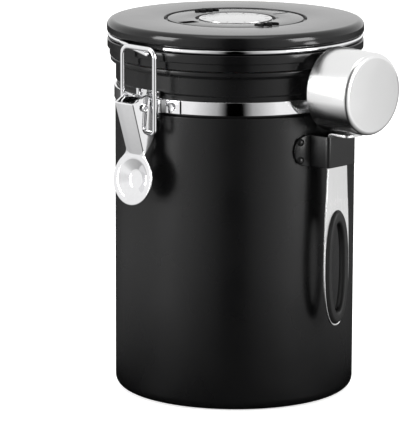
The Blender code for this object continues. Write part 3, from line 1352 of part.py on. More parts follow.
def strap_rivet_places():
    """Places of the strap's four rivets on its two flanges, their Z axes pointing outwards."""
    turn = math.degrees(math.asin(STRAP_RIVET_SIDE / STRAP_FLANGE_OUTER))
    places = []
    for side in (-1, 1):
        for rise in (-STRAP_RIVET_RISE, STRAP_RIVET_RISE):
            place = outward_place(SCOOP_AZIMUTH + side * turn, STRAP_FLANGE_OUTER + CLEARANCE, STRAP_MIDDLE + rise)
            places.append(place)
    return places


def build_scoop_strap():
    """The bracket: a strap bent out of the can's side, with a rounded flange at each end."""
    mesh = plate_mesh("scoop_strap", [mirrored(strap_half())], STRAP_HEIGHT + 2 * OVERRUN)
    strap = add_piece("scoop_strap", mesh, "satin_black_coat")
    across, outward = side_axes(SCOOP_AZIMUTH)
    strap.matrix_world = frame_matrix(UP * STRAP_MIDDLE, across, outward)
    trim_loop = rounded([
        ((STRAP_HALF_SPAN, -STRAP_HEIGHT / 2), STRAP_CORNER),
        ((STRAP_HALF_SPAN, STRAP_HEIGHT / 2), STRAP_CORNER),
        ((-STRAP_HALF_SPAN, STRAP_HEIGHT / 2), STRAP_CORNER),
        ((-STRAP_HALF_SPAN, -STRAP_HEIGHT / 2), STRAP_CORNER),
    ], 5, True)
    trim = add_tool("strap_trim", plate_mesh("strap_trim", [trim_loop], STRAP_FACE))
    trim.matrix_world = scoop_frame(STRAP_FACE_INNER, STRAP_MIDDLE)
    boolean(strap, trim, "INTERSECT")
    radius = RIVET_SHANK_RADIUS + CLEARANCE
    return drill(strap, "strap_holes", radius, strap_rivet_places(), 4 * STRAP_THICKNESS)


def build_strap_rivets():
    """The four rivets that hold the strap to the can."""
    return add_fasteners("strap_rivet", rivet_mesh("strap_rivet"), "satin_black_coat", strap_rivet_places())


def build_canister():
    """Builds every piece and hangs the moving ones on their joints."""
    build_canister_body()
    build_neck_band()
    build_hinge_plate()
    build_hinge_rivets()
    build_latch_base()
    build_latch_pin()
    build_scoop_strap()
    build_strap_rivets()

    lid_hinge = joint_empty("lid_hinge_axis", (0, HINGE_REACH, HINGE_HEIGHT))
    lid_pieces = (
        build_lid_base,
        build_lid_gasket,
        build_lid_cover,
        build_lid_ring_wire,
        build_number_ring,
        build_dial_hub,
        build_valve_body,
        build_valve_flap,
        build_valve_filter,
        build_valve_cap,
        build_date_dial,
        build_month_disc,
    )
    for build in lid_pieces:
        attach(build(), lid_hinge)
    for screw in build_lid_screws():
        attach(screw, lid_hinge)

    lever = build_latch_lever()
    attach(build_latch_loop(), lever)

    scoop_rest = joint_empty("scoop_rest", scoop_frame(HANDLE_REACH, STRAP_TOP).to_translation())
    for build in (build_scoop_bowl, build_scoop_handle, build_scoop_grip):
        attach(build(), scoop_rest)


clear_scene()
PIECES = new_collection("coffee_canister")
CUTTERS = new_collection("cutters")
CUTTERS.hide_render = True
build_canister()
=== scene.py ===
"""Vacuum coffee canister: the finished pieces, their materials and the studio.

Metres, +Z up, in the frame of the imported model. The latch faces -Y, the lid's
hinge is at +Y, and the scoop hangs near +X.
"""

import logging
from dataclasses import dataclass
from enum import Enum
from math import cos, pi, radians, sin, sqrt, tan
from typing import Any, Sequence

import bmesh
import bpy
import numpy as np
from mathutils import Matrix, Vector


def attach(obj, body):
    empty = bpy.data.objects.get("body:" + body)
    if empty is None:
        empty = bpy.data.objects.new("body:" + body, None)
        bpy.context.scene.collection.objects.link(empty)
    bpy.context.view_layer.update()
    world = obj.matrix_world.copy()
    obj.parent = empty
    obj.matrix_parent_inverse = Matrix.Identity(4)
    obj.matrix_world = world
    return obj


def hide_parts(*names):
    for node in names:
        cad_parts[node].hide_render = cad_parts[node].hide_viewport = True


logging.basicConfig(level=logging.INFO, format="%(message)s")
LOG = logging.getLogger("canister")

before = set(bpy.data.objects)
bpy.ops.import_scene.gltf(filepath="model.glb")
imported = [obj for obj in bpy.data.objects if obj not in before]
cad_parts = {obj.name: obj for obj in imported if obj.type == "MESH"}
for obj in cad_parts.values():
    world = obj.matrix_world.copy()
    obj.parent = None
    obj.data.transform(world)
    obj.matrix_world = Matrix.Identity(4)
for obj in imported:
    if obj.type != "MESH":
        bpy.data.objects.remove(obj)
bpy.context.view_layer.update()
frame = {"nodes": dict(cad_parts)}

TURN = 2.0 * pi
QUARTER = 0.5 * pi
X_AXIS = np.array([1.0, 0.0, 0.0])
UP = np.array([0.0, 0.0, 1.0])
SIDE_SHARE = 0.499       # most of a side that one rounded corner takes
MERGE = 1e-7             # points nearer than this become one
CORNER = 40.0            # degrees of bend past which an edge is shaded sharp


# ---- Surfaces ----

@dataclass
class Surface:
    """Points and quads of one closed form or of several beside each other."""

    points: np.ndarray
    faces: np.ndarray

    def placed(self, matrix: np.ndarray) -> "Surface":
        """Carry every point through the rows of a 4 x 4 array."""
        return Surface(self.points @ matrix[:3, :3].T + matrix[:3, 3], self.faces)

    def __add__(self, other: "Surface") -> "Surface":
        """Put another surface's points and faces behind these ones."""
        return Surface(np.vstack([self.points, other.points]),
                       np.vstack([self.faces, other.faces + len(self.points)]))


def frame_matrix(origin: Sequence[float], x_axis: Sequence[float],
                 y_axis: Sequence[float]) -> np.ndarray:
    """Make the place whose third axis is x cross y.

    Args:
        origin: where the local zero goes.
        x_axis: direction of local X, a unit vector.
        y_axis: direction of local Y, a unit vector.

    Returns:
        A 4 x 4 array.
    """
    place = np.eye(4)
    place[:3, 0], place[:3, 1] = x_axis, y_axis
    place[:3, 2] = np.cross(x_axis, y_axis)
    place[:3, 3] = origin
    return place


def shifted(x: float = 0.0, y: float = 0.0, z: float = 0.0) -> np.ndarray:
    """Make a place that is only a shift."""
    return frame_matrix((x, y, z), X_AXIS, (0.0, 1.0, 0.0))


def turned(angle: float) -> np.ndarray:
    """Make a place that is only a turn about Z, by an angle in radians."""
    return frame_matrix((0, 0, 0), (cos(angle), sin(angle), 0.0),
                        (-sin(angle), cos(angle), 0.0))


def side_frame(azimuth: float, reach: float = 0.0, height: float = 0.0) -> np.ndarray:
    """Make a place on the can's side: X sideways, Y up, Z outwards.

    Args:
        azimuth: degrees from the latch, turning towards +X.
        reach: distance of the origin from the can's axis.
        height: height of the origin.

    Returns:
        A 4 x 4 array.
    """
    angle = radians(azimuth)
    outward = np.array([sin(angle), -cos(angle), 0.0])
    sideways = np.array([cos(angle), sin(angle), 0.0])
    return frame_matrix(outward * reach + UP * height, sideways, UP)


def azimuth_of(side: float, radius: float) -> float:
    """Find the degrees from the latch of a point on a circle that is side to the right."""
    return float(np.degrees(np.arcsin(side / radius)))


def lattice(points: np.ndarray, round_rows: bool, round_columns: bool) -> Surface:
    """Join a grid of points with quads.

    Point (i, j) is joined to (i + 1, j), (i + 1, j + 1) and (i, j + 1), where an
    index that runs over the end of a closed direction starts again at zero.

    Args:
        points: array of rows x columns x 3.
        round_rows: True where the last row meets the first one.
        round_columns: True where the last column meets the first one.

    Returns:
        The surface.
    """
    rows, columns = points.shape[:2]
    number = np.arange(rows * columns).reshape(rows, columns)
    if round_rows:
        number = np.vstack([number, number[:1]])
    if round_columns:
        number = np.hstack([number, number[:, :1]])
    faces = np.stack([number[:-1, :-1], number[1:, :-1], number[1:, 1:], number[:-1, 1:]], -1)
    return Surface(points.reshape(-1, 3), faces.reshape(-1, 4))


def tube(rows: np.ndarray, first: np.ndarray, last: np.ndarray) -> Surface:
    """Join closed rows to a tube and close each end at one point.

    Args:
        rows: array of rows x columns x 3, each row a loop.
        first: the point that closes the first row.
        last: the point that closes the last row.

    Returns:
        A closed surface.
    """
    low, high = (np.broadcast_to(end, (1,) + rows.shape[1:]) for end in (first, last))
    return lattice(np.concatenate([low, rows, high]), False, True)


def eased(corners: Sequence[Sequence[float]], closed: bool = False,
          steps: int = 6) -> np.ndarray:
    """Round the corners of a line, in a plane or in space.

    Each corner becomes an arc that touches both of its sides. With h half the
    angle between them, the arc starts radius / tan(h) before the corner, and its
    point at share s is its middle plus (sin((1 - s) w) S + sin(s w) E) / sin(w),
    where S and E are the arms to the arc's ends and w = pi - 2 h is its turn.

    Args:
        corners: coordinates and then the radius of each corner, 0 for a sharp one.
        closed: True where the last corner is joined to the first.
        steps: points of an arc, less one.

    Returns:
        Array of points.
    """
    count = len(corners)
    share = np.linspace(0.0, 1.0, steps + 1)[:, None]
    parts: list[np.ndarray] = []
    for index, (*spot, radius) in enumerate(corners):
        here = np.array(spot)
        if radius <= 0.0 or (not closed and index in (0, count - 1)):
            parts.append(here[None])
            continue
        before = np.array(corners[index - 1][:-1]) - here
        after = np.array(corners[(index + 1) % count][:-1]) - here
        run_in, run_out = np.linalg.norm(before), np.linalg.norm(after)
        before, after = before / run_in, after / run_out
        half = 0.5 * np.arccos(np.clip(before @ after, -1.0, 1.0))
        cut = min(radius / tan(half), SIDE_SHARE * run_in, SIDE_SHARE * run_out)
        middle = here + (before + after) / np.linalg.norm(before + after) * cut / cos(half)
        start, end, swing = here + before * cut - middle, here + after * cut - middle, pi - 2 * half
        arc = np.sin((1.0 - share) * swing) * start + np.sin(share * swing) * end
        parts.append(middle + arc / sin(swing))
    return np.vstack(parts)


def evened(path: np.ndarray, spacing: float) -> np.ndarray:
    """Space the points of a line evenly along its length.

    Args:
        path: points x 2 or x 3.
        spacing: distance between the new points.

    Returns:
        The new points.
    """
    run = np.concatenate([[0.0], np.cumsum(np.linalg.norm(np.diff(path, axis=0), axis=1))])
    keep = np.concatenate([[True], np.diff(run) > 1e-9])
    run, path = run[keep], path[keep]
    at = np.linspace(0.0, run[-1], max(3, int(round(run[-1] / spacing)) + 1))
    return np.stack([np.interp(at, run, column) for column in path.T], -1)


def arc_points(centre: Sequence[float], radius: float, start: float, end: float,
               steps: int) -> np.ndarray:
    """Draw an arc in the plan.

    Args:
        centre: x and y of its middle.
        radius: its radius.
        start: first angle in degrees.
        end: last angle in degrees.
        steps: number of points, less one.

    Returns:
        Array of points x 2.
    """
    angle = np.radians(np.linspace(start, end, steps + 1))
    return np.asarray(centre) + radius * np.stack([np.cos(angle), np.sin(angle)], -1)


def superellipse(half_width: float, half_height: float, power: float, count: int) -> np.ndarray:
    """Draw |x / a| ^ power + |y / b| ^ power = 1, counter-clockwise.

    Args:
        half_width: a.
        half_height: b.
        power: 2 for an ellipse, more for a squarer one.
        count: number of points.

    Returns:
        Array of points x 2.
    """
    angle = np.arange(count) * TURN / count
    across, along = np.cos(angle), np.sin(angle)
    return np.stack([half_width * np.sign(across) * np.abs(across) ** (2.0 / power),
                     half_height * np.sign(along) * np.abs(along) ** (2.0 / power)], -1)


def revolved(profile: np.ndarray | Sequence[Sequence[float]], segments: int,
             closed: bool = False) -> Surface:
    """Turn a profile of (radius, height) about Z.

    Point (i, j) = (radius_i cos a_j, radius_i sin a_j, height_i) with a_j the
    j-th of equal steps round the circle.

    Args:
        profile: points x 2.
        segments: steps round the circle.
        closed: True where the profile is a loop, False where it runs from axis to axis.

    Returns:
        A closed surface.
    """
    angle = np.arange(segments) * TURN / segments
    radius, height = np.split(np.asarray(profile, float), 2, 1)
    grid = np.stack([radius * np.cos(angle), radius * np.sin(angle),
                     np.repeat(height, segments, 1)], -1)
    return lattice(grid, closed, True)


def drum(radius: float, low: float, high: float, segments: int) -> Surface:
    """Make a solid cylinder about Z between two heights."""
    return revolved([(0, low), (radius, low), (radius, high), (0, high)], segments)


def prism(outline: np.ndarray, low: float, high: float) -> Surface:
    """Raise an outline in XY to a block.

    Its rows are the outline at both heights, and each face is closed at the
    outline's middle.

    Args:
        outline: points x 2, seen whole from its middle.
        low: height of its underside.
        high: height of its upper side.

    Returns:
        A closed surface.
    """
    rows = np.array([np.column_stack([outline, np.full(len(outline), z)]) for z in (low, high)])
    return tube(rows, rows[0].mean(0), rows[1].mean(0))


def soft_section(half_width: np.ndarray | float, half_height: np.ndarray | float,
                 edge: float, steps: int) -> tuple[np.ndarray, np.ndarray]:
    """Walk round rectangles whose corners are quarter circles.

    At an angle t from 0 to 90 degrees a corner's point lies half width -
    edge (1 - cos t) across and half height - edge (1 - sin t) up. The four
    corners take its signs and, where the walk runs the other way, its order.

    Args:
        half_width: half the width of each rectangle.
        half_height: half the height of each rectangle.
        edge: radius of the corners.
        steps: points of a corner.

    Returns:
        Offsets across and up, each rectangles x points round it.
    """
    turn = np.linspace(0.0, QUARTER, steps)
    turns = np.concatenate([turn, turn[::-1], turn, turn[::-1]])
    wide, tall = np.atleast_1d(half_width)[:, None], np.atleast_1d(half_height)[:, None]
    across = np.repeat([1, -1, -1, 1], steps) * (wide - edge * (1.0 - np.cos(turns)))
    up = np.repeat([1, 1, -1, -1], steps) * (tall - edge * (1.0 - np.sin(turns)))
    return tuple(np.broadcast_arrays(across, up))


def soft_ring(outer: np.ndarray, inner: np.ndarray, half_height: float, edge: float,
              steps: int) -> Surface:
    """Fill the space between two loops in XY with a flat ring whose edges are soft.

    Point (i, j) = the middle of both loops' points i, plus across_ij x the
    direction from the inner to the outer one, at a height of up_ij.

    Args:
        outer: points x 2.
        inner: as many points x 2.
        half_height: half the ring's thickness.
        edge: radius of the softened edges.
        steps: points of an edge.

    Returns:
        A closed surface.
    """
    middle = 0.5 * (outer + inner)
    reach = np.linalg.norm(outer - middle, axis=1)
    across, up = soft_section(reach, half_height, edge, steps)
    toward = (outer - middle) / reach[:, None]
    plan = middle[:, None] + across[..., None] * toward[:, None]
    return lattice(np.concatenate([plan, up[..., None]], -1), True, True)


def ribbon(path: np.ndarray, half_thickness: np.ndarray | float,
           half_height: np.ndarray | float, edge: float) -> Surface:
    """Stand a strip on a plan line, with softened edges.

    Point (i, j) = plan point i + across_ij x its normal, at a height of up_ij.
    Each end is closed at its middle.

    Args:
        path: plan points x 2; the normal is to the right of its direction.
        half_thickness: half the strip's thickness, at each point or everywhere.
        half_height: half the strip's height, at each point or everywhere.
        edge: radius of the softened edges.

    Returns:
        A closed surface.
    """
    run = np.gradient(path, axis=0)
    run /= np.linalg.norm(run, axis=1, keepdims=True)
    normal = np.stack([run[:, 1], -run[:, 0]], -1)
    across, up = soft_section(half_thickness, half_height, edge, 4)
    across, up = (np.broadcast_to(part, (len(path), 16)) for part in (across, up))
    plan = path[:, None] + across[..., None] * normal[:, None]
    rows = np.concatenate([plan, up[..., None]], -1)
    return tube(rows, rows[0].mean(0), rows[-1].mean(0))


def capped(sections: np.ndarray) -> Surface:
    """Join channel-shaped sections and close both ends between their two sides.

    A section's first half is its outer line and its second half the inner line
    backwards, so an end's quads join outer point j to inner point j.

    Args:
        sections: rows x columns x 3, with an even number of columns.

    Returns:
        A closed surface.
    """
    body = lattice(sections, False, True)
    rows, columns = sections.shape[:2]
    step = np.arange(columns // 2 - 1)
    quad = np.stack([step, step + 1, columns - 2 - step, columns - 1 - step], -1)
    return Surface(body.points, np.vstack([body.faces, quad, quad + (rows - 1) * columns]))


def swept(path: np.ndarray, across: np.ndarray, up: np.ndarray,
          start_side: np.ndarray = UP) -> Surface:
    """Carry a closed section along an open path and close both ends.

    Point (i, j) = path_i + across_ij side_i + up_ij cross_i. The side direction
    doesn't twist: it is carried from point to point by taking away what lies
    along each new tangent, and the cross direction is tangent cross side.

    Args:
        path: points x 3.
        across: offsets to the side, points x columns.
        up: offsets along the cross direction, points x columns.
        start_side: a direction near the first side direction.

    Returns:
        A closed surface.
    """
    tangent = np.gradient(path, axis=0)
    tangent /= np.linalg.norm(tangent, axis=1, keepdims=True)
    side = np.zeros_like(path)
    now = start_side
    for index, along in enumerate(tangent):
        now = now - along * (now @ along)
        now = now / np.linalg.norm(now)
        side[index] = now
    cross = np.cross(tangent, side)
    rows = path[:, None] + across[..., None] * side[:, None] + up[..., None] * cross[:, None]
    return tube(rows, path[0], path[-1])


def wire(path: np.ndarray, radius: float, sides: int = 20, tip: float = 0.6,
         tip_size: float = 0.55) -> Surface:
    """Make a round wire along a path, with blunt ends.

    The section is a circle. Over the tip at each end its size is tip size +
    (1 - tip size) sqrt(1 - t^2), with t running up to 1 at the very end.

    Args:
        path: points x 3.
        radius: half the wire's thickness.
        sides: points of the circle.
        tip: length of the blunt end, as a share of the radius.
        tip_size: size of the last section, as a share of the radius.

    Returns:
        A closed surface.
    """
    angle = np.arange(sides) * TURN / sides
    share = np.array([1.0, 0.7, 0.35, 0.12])
    size = tip_size + (1.0 - tip_size) * np.sqrt(1.0 - share ** 2)
    outward = path[[0, -1]] - path[[1, -2]]
    outward *= tip * radius / np.linalg.norm(outward, axis=1, keepdims=True)
    head = path[0] - outward[0] * (1.0 - share)[:, None]
    tail = path[-1] - outward[1] * (1.0 - share[::-1])[:, None]
    away = np.linalg.norm(path[None] - path[[0, -1], None], axis=2).min(0)
    inner = path[away > 1.05 * tip * radius]
    scale = radius * np.concatenate([size, np.ones(len(inner)), size[::-1]])[:, None]
    return swept(np.vstack([head, inner, tail]), scale * np.cos(angle), scale * np.sin(angle))


# ---- Objects ----

def welded(name: str, surface: Surface, merge: float = MERGE) -> bpy.types.Mesh:
    """Put a surface into a mesh, merge its doubles and turn its faces outwards.

    Args:
        name: the mesh's name.
        surface: the form, already in its place.
        merge: points nearer than this become one.

    Returns:
        The new mesh.
    """
    mesh = bpy.data.meshes.new(name)
    mesh.from_pydata(surface.points.tolist(), [], surface.faces.tolist())
    shape = bmesh.new()
    shape.from_mesh(mesh)
    bmesh.ops.remove_doubles(shape, verts=shape.verts, dist=merge)
    bmesh.ops.recalc_face_normals(shape, faces=shape.faces)
    shape.to_mesh(mesh)
    shape.free()
    return mesh


def linked(name: str, data: Any) -> bpy.types.Object:
    """Make an object and put it in the scene.

    Args:
        name: its name.
        data: its mesh, light or camera.

    Returns:
        The object.
    """
    made = bpy.data.objects.new(name, data)
    bpy.context.scene.collection.objects.link(made)
    return made


def shaded(mesh: bpy.types.Mesh, sharp: float) -> None:
    """Shade a mesh smooth, but for the edges that bend by more than sharp degrees."""
    mesh.shade_smooth()
    mesh.set_sharp_from_angle(angle=radians(sharp))


@dataclass(frozen=True)
class Piece:
    """One finished piece: its name, what it rides on and what it stands for."""

    name: str
    body: str
    slot: str
    node: str = ""
    sharp: float = CORNER

    def made(self, surface: Surface, material: bpy.types.Material,
             merge: float = MERGE) -> bpy.types.Object:
        """Make the surface a mesh object in its material, on its body."""
        return self.kept(welded(self.name, surface, merge), material)

    def kept(self, mesh: bpy.types.Mesh, material: bpy.types.Material) -> bpy.types.Object:
        """Make a finished mesh an object, shade it and put it on its body.

        Args:
            mesh: closed mesh in its place.
            material: what it is dressed in.

        Returns:
            The new object.
        """
        shaded(mesh, self.sharp)
        mesh.materials.clear()
        mesh.materials.append(material)
        piece = linked(self.name, mesh)
        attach(piece, self.body)
        if self.node:
            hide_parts(self.node)
        LOG.info("%s: %d faces on %s", self.name, len(mesh.polygons), self.body)
        return piece

    def refined(self, material: bpy.types.Material, bevel: float) -> bpy.types.Object:
        """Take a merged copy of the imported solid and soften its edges.

        Args:
            material: what it is dressed in.
            bevel: width of the softened edges.

        Returns:
            The new object.
        """
        mesh = bpy.data.objects[frame["nodes"][self.node].name].data.copy()
        shape = bmesh.new()
        shape.from_mesh(mesh)
        bmesh.ops.remove_doubles(shape, verts=shape.verts, dist=1e-6)
        bmesh.ops.dissolve_limit(shape, angle_limit=radians(1.0), verts=shape.verts,
                                 edges=shape.edges)
        shape.to_mesh(mesh)
        shape.free()
        mesh.name = self.name
        piece = self.kept(mesh, material)
        soft = piece.modifiers.new("softened edges", "BEVEL")
        soft.width, soft.segments, soft.limit_method = bevel, 2, "ANGLE"
        soft.angle_limit, soft.use_clamp_overlap, soft.harden_normals = radians(32.0), True, True
        return piece


def cut_from(piece: bpy.types.Object, tools: Sequence[Surface],
             sharp: float | None = CORNER) -> None:
    """Cut closed forms out of a piece, keep the result as its mesh and shade it again.

    Args:
        piece: the object that is cut.
        tools: closed surfaces, each taken away in turn.
        sharp: degrees of bend past which an edge is sharp, or none to leave the shading.
    """
    for tool in tools:
        cutter = linked("cutter", welded("cutter", tool))
        knife = piece.modifiers.new("cut", "BOOLEAN")
        knife.operation, knife.solver, knife.object = "DIFFERENCE", "EXACT", cutter
        bpy.context.view_layer.update()
        depsgraph = bpy.context.evaluated_depsgraph_get()
        done = bpy.data.meshes.new_from_object(piece.evaluated_get(depsgraph))
        piece.modifiers.clear()
        old, piece.data, used = piece.data, done, cutter.data
        done.name = old.name
        bpy.data.objects.remove(cutter)
        bpy.data.meshes.remove(used)
        bpy.data.meshes.remove(old)
    if sharp is not None:
        shaded(piece.data, sharp)


# ---- Materials ----

Colour = tuple[float, float, float]
Socket = bpy.types.NodeSocket
NOISE_SPAN = (0.3, 0.7)  # where most of a noise's values lie
WHITE = (1.0, 1.0, 1.0, 1.0)


def darkened(colour: Colour, share: float) -> Colour:
    """Take a share of each part of a colour."""
    return tuple(share * part for part in colour)


class Graph:
    """A tree of shader nodes and the ways in which nodes are added to it."""

    def __init__(self, tree: bpy.types.NodeTree) -> None:
        """Keep the tree."""
        self.tree = tree

    def join(self, node: bpy.types.Node, inputs: dict[Any, Any]) -> None:
        """Give a node's inputs what they read.

        Args:
            node: the node.
            inputs: another node's output or a plain value for each input's name or number.
        """
        for key, value in inputs.items():
            if isinstance(value, Socket):
                self.tree.links.new(value, node.inputs[key])
            else:
                node.inputs[key].default_value = value

    def node(self, kind: str, inputs: dict[Any, Any], **settings: Any) -> bpy.types.Node:
        """Add a node.

        Args:
            kind: Blender's name for the node, without its first words.
            inputs: what its inputs read.
            settings: properties that are set on it.

        Returns:
            The node.
        """
        made = self.tree.nodes.new(f"ShaderNode{kind}")
        for key, value in settings.items():
            setattr(made, key, value)
        self.join(made, inputs)
        return made

    def math(self, operation: str, *terms: Any) -> Socket:
        """Work out a sum of outputs or numbers, by Blender's name for it."""
        return self.node("Math", dict(enumerate(terms)), operation=operation).outputs[0]

    def mapped(self, value: Socket, span: tuple[float, float],
               result: tuple[float, float] = (0.0, 1.0)) -> Socket:
        """Carry a value from a span to a result's span, held at both ends."""
        ends = dict(zip(("From Min", "From Max", "To Min", "To Max"), span + result))
        return self.node("MapRange", {"Value": value, **ends}).outputs["Result"]

    def surroundings(self, vector: Socket, heading: float,
                     steps: Sequence[tuple[float, float]]) -> Socket:
        """Work out how bright mirrors see the surroundings in a direction round the can.

        The cosine between the direction, laid level, and the camera's direction is
        carried to 0 to 1 and read from a ramp with a mark for each step.

        Args:
            vector: direction from the can, or place on the floor.
            heading: degrees of the camera's direction.
            steps: pairs of degrees from the camera's direction and brightness.

        Returns:
            The brightness output.
        """
        angle = radians(heading - 90.0)
        level = self.node("VectorMath", {0: vector, 1: (1.0, 1.0, 0.0)}, operation="MULTIPLY")
        unit = self.node("VectorMath", {0: level.outputs["Vector"]}, operation="NORMALIZE")
        toward = self.node("VectorMath", {0: unit.outputs["Vector"],
                                          1: (cos(angle), sin(angle), 0.0)},
                           operation="DOT_PRODUCT")
        share = self.mapped(toward.outputs["Value"], (-1.0, 1.0))
        ramp = self.node("ValToRGB", {"Fac": share})
        marks = ramp.color_ramp.elements
        while len(marks) < len(steps):
            marks.new(0.5)
        for mark, (away, light) in zip(marks, sorted(steps, reverse=True)):
            mark.position = 0.5 + 0.5 * cos(radians(away))
            mark.color = (light, light, light, 1.0)
        return ramp.outputs["Color"]


class MaterialGraph(Graph):
    """Nodes of one material round its Principled shader."""

    def __init__(self, name: str) -> None:
        """Start a material.

        Args:
            name: the material's name.
        """
        self.material = bpy.data.materials.new(name)
        self.material.use_nodes = True
        super().__init__(self.material.node_tree)
        self.shader = self.tree.nodes["Principled BSDF"]

    def shade(self, **inputs: Any) -> None:
        """Give the shader's inputs what they read, with _ for each space in a name."""
        self.join(self.shader, {key.replace("_", " "): value for key, value in inputs.items()})

    def place(self, matrix: np.ndarray | None = None,
              scale: Sequence[float] = (1.0, 1.0, 1.0)) -> Socket:
        """Read Object coordinates in a piece's own frame.

        Args:
            matrix: the frame's place, or none for the object's.
            scale: factors along the frame's axes.

        Returns:
            The vector output.
        """
        vector = self.node("TexCoord", {}).outputs["Object"]
        if matrix is not None:
            vector = self.node("Mapping", {
                "Vector": vector, "Location": matrix[:3, 3].tolist(),
                "Rotation": Matrix(matrix[:3, :3].tolist()).to_euler()},
                vector_type="TEXTURE").outputs["Vector"]
        return self.node("Mapping", {"Vector": vector, "Scale": scale}).outputs["Vector"]

    def noise(self, vector: Socket, scale: float, detail: float = 2.0,
              roughness: float = 0.5) -> Socket:
        """Add cloudy noise of scale waves per unit, with finer layers of this roughness."""
        return self.node("TexNoise", {"Vector": vector, "Scale": scale, "Detail": detail,
                                      "Roughness": roughness}).outputs["Fac"]

    def bump(self, height: Socket, strength: float, distance: float, **normal: Socket) -> Socket:
        """Turn a height into a normal, on top of a Normal that is already bumped."""
        return self.node("Bump", {"Height": height, "Strength": strength, "Distance": distance,
                                  **normal}).outputs["Normal"]

    def roughened(self, noise: Socket, middle: float, spread: float) -> None:
        """Let a noise carry the roughness by a spread to both sides of its middle."""
        self.shade(Roughness=self.mapped(noise, NOISE_SPAN, (middle - spread, middle + spread)))

    def tinted(self, share: Socket, first: Colour, second: Colour) -> None:
        """Mix two base colours, by a share that is 0 for the first and 1 for the second."""
        mix = self.node("Mix", {"Factor": share, 6: (*first, 1.0), 7: (*second, 1.0)},
                        data_type="RGBA")
        self.shade(Base_Color=mix.outputs[2])

    def polar(self, vector: Socket) -> tuple[Socket, Socket, Socket]:
        """Work out the radius, the angle in radians and the height in a frame.

        Args:
            vector: coordinates in the frame.

        Returns:
            Radius, angle and height outputs.
        """
        x, y, z = self.node("SeparateXYZ", {"Vector": vector}).outputs
        square = self.math("ADD", self.math("MULTIPLY", x, x), self.math("MULTIPLY", y, y))
        return self.math("SQRT", square), self.math("ARCTAN2", y, x), z


class Brushing(Enum):
    """Which way the fine lines of a metal finish run."""

    NONE = "none"
    RINGS = "rings about the frame's Z"
    TURNED = "turning lines round the frame's Z, by height"
    ALONG_Y = "along the frame's Y"


@dataclass(frozen=True)
class Plastic:
    """Moulded plastic: body colour, gloss and faint moulding texture."""

    name: str
    colour: Colour
    roughness: float
    shine: float = 0.5
    unevenness: float = 0.03
    clouds: tuple[float, float, float] = (45.0, 4.0, 0.6)
    darkest: float = 0.9
    texture: float = 1800.0
    texture_height: float = 0.000006

    def skin(self, graph: MaterialGraph, here: Socket) -> Socket:
        """Bump the moulding texture."""
        return graph.bump(graph.noise(here, self.texture), 0.4, self.texture_height)

    def material(self) -> bpy.types.Material:
        """Build the nodes: clouds vary gloss and colour, and the skin is bumped.

        Returns:
            The material.
        """
        graph = MaterialGraph(self.name)
        here = graph.place()
        clouds = graph.noise(here, *self.clouds)
        graph.roughened(clouds, self.roughness, self.unevenness)
        graph.tinted(clouds, darkened(self.colour, self.darkest), self.colour)
        graph.shade(Metallic=0.0, IOR=1.5, Specular_IOR_Level=self.shine,
                    Normal=self.skin(graph, here))
        return graph.material


@dataclass(frozen=True)
class SatinCoat(Plastic):
    """Satin black powder coat: fine orange-peel grain, slight unevenness of gloss."""

    name: str = "satin black coat"
    colour: Colour = (0.0036, 0.0036, 0.0038)
    roughness: float = 0.28
    shine: float = 0.32
    unevenness: float = 0.05
    clouds: tuple[float, float, float] = (28.0, 3.0, 0.5)
    darkest: float = 0.86
    texture: float = 2400.0
    texture_height: float = 0.000012
    peel: float = 420.0
    peel_height: float = 0.000024

    def skin(self, graph: MaterialGraph, here: Socket) -> Socket:
        """Bump the fine grain on top of the orange peel."""
        peel = graph.bump(graph.noise(here, self.peel), 0.35, self.peel_height)
        return graph.bump(graph.noise(here, self.texture), 0.5, self.texture_height, Normal=peel)


@dataclass(frozen=True)
class Steel:
    """Bright metal with fine lines that run one way."""

    name: str
    colour: Colour
    roughness: float
    unevenness: float
    brushing: Brushing
    line_height: float
    lines: float
    frame: np.ndarray | None = None
    clouds: float = 60.0
    darkest: float = 0.93
    stretch: float = 0.004
    angle_stretch: float = 0.0004

    def line_coordinates(self, graph: MaterialGraph, here: Socket) -> Socket:
        """Find coordinates that hardly change along a line.

        Args:
            graph: the material that gets the nodes.
            here: coordinates in the finish's frame.

        Returns:
            The vector output.
        """
        if self.brushing not in (Brushing.RINGS, Brushing.TURNED):
            along = self.stretch if self.brushing is Brushing.ALONG_Y else 1.0
            return graph.place(self.frame, (1.0, along, 1.0))
        radius, angle, height = graph.polar(here)
        run = radius if self.brushing is Brushing.RINGS else graph.math("ADD", height, radius)
        turn = graph.math("MULTIPLY", graph.math("ABSOLUTE", angle), self.angle_stretch)
        return graph.node("CombineXYZ", {"X": run, "Y": turn}).outputs["Vector"]

    def material(self) -> bpy.types.Material:
        """Build the metal's nodes.

        Returns:
            The material.
        """
        graph = MaterialGraph(self.name)
        here = graph.place(self.frame)
        clouds = graph.noise(here, self.clouds, 4.0, 0.6)
        grain = graph.noise(self.line_coordinates(graph, here), self.lines, 3.0, 0.6)
        mixed = graph.math("ADD", *(graph.math("MULTIPLY", part, 0.5) for part in (clouds, grain)))
        graph.roughened(mixed, self.roughness, self.unevenness)
        graph.tinted(graph.mapped(mixed, NOISE_SPAN), darkened(self.colour, self.darkest),
                     self.colour)
        graph.shade(Metallic=1.0, Normal=graph.bump(grain, 0.5, self.line_height))
        return graph.material


